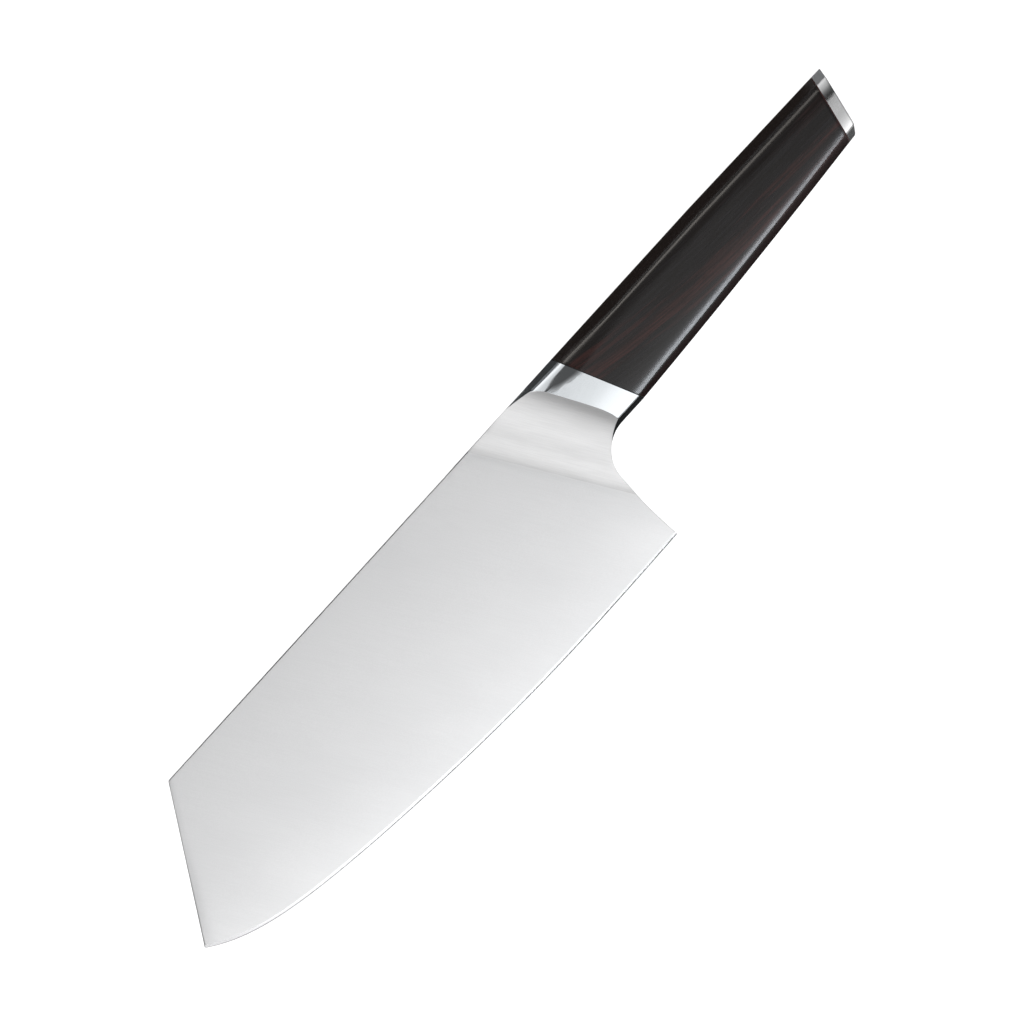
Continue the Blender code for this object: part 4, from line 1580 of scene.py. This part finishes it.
@dataclass
class EndCap:
    """The steel plate that closes the butt, with a rounded rim."""

    section: HandleSection
    origin: Vector
    rim: float = 0.25 * MM
    rim_rows: int = 9
    arris: float = 0.05 * MM
    middle_rows: tuple[float, float, int] = (0.2, 0.8, 5)
    heel_run: float = 2.9 * MM
    heel_radius: float = 3.7 * MM
    ridge_rounding: float = 0.60 * MM
    lower_rounding: float = 0.22 * MM
    flat_rounding: float = 0.25 * MM
    piece: bpy.types.Object | None = field(default=None, init=False)

    def end(self, y: np.ndarray, depth: float) -> np.ndarray:
        """Give x of the cap's end, or of a surface in front of it.

        Formula: the butt's plane, less a parabola that turns it away just above the belly.

        Args:
            y: Places across.
            depth: How far in front of the end the surface lies.

        Returns:
            x for each y.
        """
        x = self.section.butt(y, depth)
        turned = np.clip(self.section.belly_y(x) + self.heel_run - y, 0.0, self.heel_run)
        return x - turned ** 2 / (2 * self.heel_radius)

    def ring(self, plane: Callable[[np.ndarray], np.ndarray]) -> np.ndarray:
        """Rounded half section of the cap on a surface."""
        return self.section.rounded(plane, self.flat_rounding, self.ridge_rounding,
                                    self.lower_rounding)

    def build(self) -> bpy.types.Object:
        """Build the cap's solid.

        Returns:
            The cap.
        """
        section = self.section
        joint = partial(section.butt, depth=section.cap_thickness)
        inner = partial(section.butt, depth=section.cap_thickness - self.arris)
        rows = [shrink(self.ring(joint), self.arris, joint), self.ring(inner)]
        for share in np.linspace(*self.middle_rows):

            def between(y: np.ndarray, share: float = share) -> np.ndarray:
                """x of a surface between the joint and the rounded rim."""
                return joint(y) + (self.end(y, self.rim) - joint(y)) * share

            rows.append(self.ring(between))
        for angle in np.linspace(0.0, math.pi / 2, self.rim_rows):
            depth = self.rim * (1 - math.sin(angle))
            surface = partial(self.end, depth=depth)
            rows.append(shrink(self.ring(surface), self.rim * (1 - math.cos(angle)), surface))
        polished = PolishedSteel("polished_cap_steel", color=(0.54, 0.542, 0.545), roughness=0.13,
                                 mark_turn=1.2).material()
        self.piece = skin("steel_end_cap", np.array(rows), self.origin, None, [polished])
        smooth(self.piece)
        return self.piece


@dataclass(frozen=True)
class SoftLamp:
    """A soft box aimed at the knife from a polar angle and a side.

    The glow gives its strength at shares of its width, and spared names the pieces it leaves out.
    """

    name: str
    side: float
    tilt: float
    width: float
    length: float
    radiance: float
    shift: float = 0.0
    glow: tuple[tuple[float, float], ...] = ()
    spared: tuple[str, ...] = ()
    tint: tuple[float, float, float] = (1.0, 1.0, 1.0)
    distance: float = 1.7

    def build(self, aim: Vector) -> bpy.types.Object:
        """Hang the lamp.

        Args:
            aim: The point that it faces.

        Returns:
            The lamp.
        """
        data = bpy.data.lights.new(self.name, 'AREA')
        data.shape = 'RECTANGLE'
        data.size = self.length
        data.size_y = self.width
        data.energy = 4.0 * self.radiance * self.width * self.length
        data.color = self.tint
        if self.glow:
            self.grade(data)
        lamp = bpy.data.objects.new(self.name, data)
        side, tilt = math.radians(self.side), math.radians(self.tilt)
        way = Vector((math.sin(tilt) * math.cos(side), math.sin(tilt) * math.sin(side),
                      math.cos(tilt)))
        lamp.location = aim + way * self.distance + Vector((self.shift, 0.0, 0.0))
        lamp.rotation_euler = Euler((tilt, 0.0, side + math.pi / 2))
        lamp.visible_camera = False
        bpy.context.scene.collection.objects.link(lamp)
        if self.spared:
            self.flag(lamp)
        return lamp

    def flag(self, lamp: bpy.types.Object) -> None:
        """Keep the lamp off the pieces that it spares, as a flag beside it would.

        Args:
            lamp: The lamp.
        """
        pieces = bpy.data.collections.new("%s_flag" % self.name)
        for name in self.spared:
            pieces.objects.link(bpy.data.objects[name])
        lamp.light_linking.receiver_collection = pieces
        for entry in pieces.collection_objects:
            entry.light_linking.link_state = 'EXCLUDE'

    def grade(self, data: bpy.types.Light) -> None:
        """Let the box glow unevenly across its width.

        Args:
            data: The lamp's data.
        """
        data.use_nodes = True
        tree = data.node_tree
        place = tree.nodes.new("ShaderNodeNewGeometry")
        split = tree.nodes.new("ShaderNodeSeparateXYZ")
        ramp = tree.nodes.new("ShaderNodeValToRGB")
        while len(ramp.color_ramp.elements) < len(self.glow):
            ramp.color_ramp.elements.new(0.5)
        for element, (share, strength) in zip(ramp.color_ramp.elements, self.glow):
            element.position = share
            element.color = (strength, strength, strength, 1.0)
        tree.links.new(place.outputs["Parametric"], split.inputs["Vector"])
        tree.links.new(split.outputs["Y"], ramp.inputs["Fac"])
        tree.links.new(ramp.outputs["Color"], tree.nodes["Emission"].inputs["Color"])


@dataclass(frozen=True)
class Card:
    """A grey or nearly black card that only mirror-like surfaces see."""

    name: str
    corners: tuple[tuple[float, float, float], ...]
    shade: float = 0.03

    def build(self, origin: Vector) -> bpy.types.Object:
        """Stand the card beside the knife.

        Args:
            origin: Where the plan's zero point lies in the world.

        Returns:
            The card.
        """
        mesh = bpy.data.meshes.new(self.name)
        mesh.from_pydata([Vector(c) + origin for c in self.corners], [], [(0, 1, 2, 3)])
        nodes = Nodes(self.name)
        shade = self.shade
        nodes.fix(Base_Color=(shade, shade, shade, 1.0), Roughness=0.9, Specular_IOR_Level=0.0)
        mesh.materials.append(nodes.material)
        card = bpy.data.objects.new(self.name, mesh)
        bpy.context.scene.collection.objects.link(card)
        card.visible_camera = False
        card.visible_diffuse = False
        card.visible_shadow = False
        card.visible_transmission = False
        return card


def upright_card(name: str, run: tuple[float, float], rise: tuple[float, float], shade: float,
                 away: float = 14 * MM) -> Card:
    """Give a card that stands along the knife on the spine's side.

    Args:
        name: Name of the card.
        run: x where it starts and ends.
        rise: z where it starts and ends.
        shade: How pale it is.
        away: How far it stands from the spine line.

    Returns:
        The card.
    """
    corners = ((run[0], away, rise[0]), (run[1], away, rise[0]), (run[1], away, rise[1]),
               (run[0], away, rise[1]))
    return Card(name, corners, shade)


@dataclass
class Studio:
    """Pale sweep, soft boxes and the camera straight above the knife."""

    origin: Vector
    sweep_radius: float = 8.0
    sweep_height: float = 1.4
    floor_color: float = 0.32
    floor_glow: float = 0.90
    sky: float = 0.05
    view_center: tuple[float, float] = (-27.5 * MM, -21.3 * MM)
    view_width: float = 295.8 * MM
    view_turn: float = math.radians(-47.7)
    camera_distance: float = 2.7
    sweep_sides: int = 96
    sweep_level: float = 0.8
    level_rows: int = 12
    rise_rows: int = 13
    lamps: tuple[SoftLamp, ...] = (
        SoftLamp("main_box", -90.0, 14.4, 0.985, 0.77, 1.66, -0.115,
                 ((0.0, 1.0), (0.37, 1.0), (0.54, 0.975), (0.68, 0.94), (0.78, 0.90), (0.85, 0.85),
                  (0.90, 0.78), (0.97, 0.70), (1.0, 0.69)), ("steel_end_cap",)),
        SoftLamp("key_strip", -90.0, 33.0, 0.24, 0.32, 26.0, 0.15, spared=COLLAR_AND_CAP,
                 tint=(0.93, 0.98, 1.05)),
        SoftLamp("edge_box", -90.0, 60.0, 0.80, 0.90, 0.20, -0.09, spared=ALL_BUT_BLADE),
        SoftLamp("bolster_key", -90.0, 35.5, 0.327, 0.45, 1.75, 0.05, spared=("steel_end_cap",)),
        SoftLamp("cap_box", -90.0, 19.0, 1.278, 0.50, 1.80, 0.25,
                 ((0.0, 0.95), (0.20, 0.95), (0.289, 0.83), (0.477, 0.60), (0.626, 0.48),
                  (0.744, 0.41), (0.83, 0.36), (0.90, 0.335), (0.96, 0.42), (1.0, 0.60)),
                 ALL_BUT_CAP),
        SoftLamp("cap_fill", 90.0, 42.0, 2.20, 0.50, 1.1, 0.27,
                 ((0.0, 0.80), (0.25, 0.85), (0.60, 0.86), (0.70, 0.80), (0.72, 0.74), (0.773, 0.59),
                  (0.829, 0.47), (0.887, 0.23), (0.952, 0.08), (1.0, 0.06)),
                 ALL_BUT_CAP),
        SoftLamp("ridge_box", 90.0, 40.0, 2.656, 1.20, 1.61, 0.10,
                 ((0.0, 1.0), (0.254, 0.98), (0.433, 0.87), (0.545, 0.745), (0.660, 0.585),
                  (0.678, 0.575), (0.690, 0.05), (0.86, 0.05), (0.93, 0.14), (1.0, 0.36)),
                 ALL_BUT_BOLSTER),
        SoftLamp("ridge_strip", 90.0, 29.0, 1.885, 0.30, 6.0, 0.11,
                 ((0.0, 1.0), (0.47, 1.0), (0.53, 0.06), (1.0, 0.06)),
                 ("knife_blade", "steel_bolster", "steel_end_cap"), (1.04, 0.98, 0.92)),
        SoftLamp("low_strip", 90.0, 71.5, 0.27, 0.13, 3.0, 0.112, spared=COLLAR_AND_CAP),
        SoftLamp("front_box", 205.0, 42.0, 1.81, 1.3, 1.38, 0.0,
                 ((0.0, 0.63), (0.08, 0.68), (0.23, 0.755), (0.367, 0.84), (0.49, 0.925),
                  (0.615, 0.95), (0.738, 0.73), (0.85, 0.42), (0.92, 0.20), (1.0, 0.0))),
    )
    cards: tuple[Card, ...] = (
        upright_card("bolster_card", (-30 * MM, 21 * MM), (-9 * MM, 2.5 * MM), 0.14),
        upright_card("bolster_grey_card", (-30 * MM, 21 * MM), (2.5 * MM, 9.5 * MM), 0.60),
        upright_card("spine_card", (21 * MM, 121 * MM), (-9 * MM, 6 * MM), 0.14),
        upright_card("grey_card", (21 * MM, 121 * MM), (6 * MM, 12 * MM), 0.60),
        upright_card("cap_card", (121 * MM, 150 * MM), (-9 * MM, 6.5 * MM), 0.60),
        Card("belly_card", ((8 * MM, -26 * MM, -8.6 * MM), (119 * MM, -19.9 * MM, -8.6 * MM),
                            (119 * MM, -42.8 * MM, -8.6 * MM), (8 * MM, -48 * MM, -8.6 * MM))),
        Card("cap_belly_card", ((119 * MM, -19.9 * MM, -8.6 * MM), (145 * MM, -18.5 * MM, -8.6 * MM),
                                (145 * MM, -41.5 * MM, -8.6 * MM), (119 * MM, -42.8 * MM, -8.6 * MM)),
             0.13),
    )

    def build(self) -> None:
        """Set up the sweep, the light and the camera."""
        self.build_sweep()
        for card in self.cards:
            card.build(self.origin)
        for lamp in self.lamps:
            lamp.build(Vector((0.0, 0.0, 0.0)))
        world = bpy.data.worlds.new("studio_sky")
        world.use_nodes = True
        background = world.node_tree.nodes["Background"]
        background.inputs["Color"].default_value = (1.0, 1.0, 1.0, 1.0)
        background.inputs["Strength"].default_value = self.sky
        bpy.context.scene.world = world
        self.build_camera()
        bpy.context.scene.view_settings.view_transform = 'Standard'

    def build_sweep(self) -> None:
        """Build the floor that sweeps up into a low wall all round.

        Formula: a surface of revolution, level out to most of its radius and then rising as a
        parabola.
        """
        level, sides = self.sweep_level, self.sweep_sides
        flat = np.linspace(0.001, level, self.level_rows) * self.sweep_radius
        rise = np.linspace(0.0, 1.0, self.rise_rows + 1)[1:]
        radius = np.concatenate([flat, self.sweep_radius * (level + (1.0 - level) * rise)])
        height = np.concatenate([np.zeros(self.level_rows), self.sweep_height * rise ** 2])
        angle = np.arange(sides) * math.tau / sides
        x = radius[:, None] * np.cos(angle)
        y = radius[:, None] * np.sin(angle)
        z = np.broadcast_to(height[:, None], x.shape)
        points = np.stack([x, y, z], axis=-1).reshape(-1, 3)
        first = np.arange(len(radius) - 1)[:, None] * sides
        here = np.arange(sides)[None, :]
        after = (here + 1) % sides
        outer = first + sides
        faces = np.stack([first + here, outer + here, outer + after, first + after], axis=-1)
        mesh = bpy.data.meshes.new("studio_sweep")
        mesh.from_pydata(points.tolist(), [], faces.reshape(-1, 4).tolist() + [here[0].tolist()])
        mesh.shade_smooth()
        nodes = Nodes("pale_sweep")
        shade = self.floor_color
        nodes.fix(Base_Color=(shade, shade, shade, 1.0), Roughness=0.9, Specular_IOR_Level=0.0)
        path = nodes.add("ShaderNodeLightPath")
        seen = nodes.work_out('MAXIMUM', path.outputs["Is Camera Ray"],
                              path.outputs["Is Glossy Ray"])
        seen = nodes.work_out('MAXIMUM', seen, path.outputs["Is Transmission Ray"])
        glow = nodes.work_out('MULTIPLY', seen, self.floor_glow)
        nodes.join(glow, nodes.shader.inputs["Emission Strength"])
        nodes.fix(Emission_Color=(1.0, 1.0, 1.0, 1.0))
        mesh.materials.append(nodes.material)
        sweep = bpy.data.objects.new("studio_sweep", mesh)
        bpy.context.scene.collection.objects.link(sweep)

    def build_camera(self) -> None:
        """Hang the camera straight above the knife, turned as in the photograph."""
        data = bpy.data.cameras.new("camera")
        data.sensor_width = 36.0
        data.lens = data.sensor_width * self.camera_distance / self.view_width
        data.clip_start = 0.1
        data.clip_end = 50.0
        camera = bpy.data.objects.new("camera", data)
        x, y = self.view_center
        camera.location = self.origin + Vector((x, y, self.camera_distance))
        camera.rotation_euler = (0.0, 0.0, self.view_turn)
        bpy.context.scene.collection.objects.link(camera)
        bpy.context.scene.camera = camera


@dataclass
class Hardware:
    """The hidden stud, washer, nut and pins, whose solids are right as they are."""

    names: tuple[str, ...] = ("tang_stud", "clamp_washer", "clamp_nut", "cap_pin_upper",
                              "cap_pin_lower")

    def dress(self, nodes: dict[str, bpy.types.Object]) -> None:
        """Give each piece of hardware its finish.

        Args:
            nodes: The frame's nodes by name.
        """
        steel = TurnedSteel().material()
        for name in self.names:
            piece = nodes[name]
            piece.data.materials.clear()
            piece.data.materials.append(steel)
            LOG.info("dressed %s", name)


def stand_in(piece: bpy.types.Object, node: str) -> None:
    """Let a piece take a node's place in the table.

    Args:
        piece: The new piece.
        node: The node that it stands for.
    """
    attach(piece, "root")
    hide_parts(node)
    piece.data.calc_loop_triangles()
    LOG.info("built %s for %s, %d triangles", piece.name, node, len(piece.data.loop_triangles))


def main() -> None:
    """Build the knife's pieces in order and light them."""
    logging.basicConfig(level=logging.INFO, format="%(name)s: %(message)s")
    plan = BladePlan()
    section = HandleSection()
    low, high = CAD_BOX
    origin = Vector((low.x + plan.length, high.y, (low.z + high.z) / 2))
    blade = Blade(plan, origin)
    stand_in(blade.build(), "blade")
    bolster = Bolster(plan, section, origin)
    stand_in(bolster.build(), "bolster")
    block = HandleBlock(section, origin)
    stand_in(block.build(Ebony().material(origin, section)), "handle_block")
    cap = EndCap(section, origin)
    stand_in(cap.build(), "end_cap")
    Hardware().dress(frame["nodes"])
    Studio(origin).build()


if __name__ == "__main__":
    main()
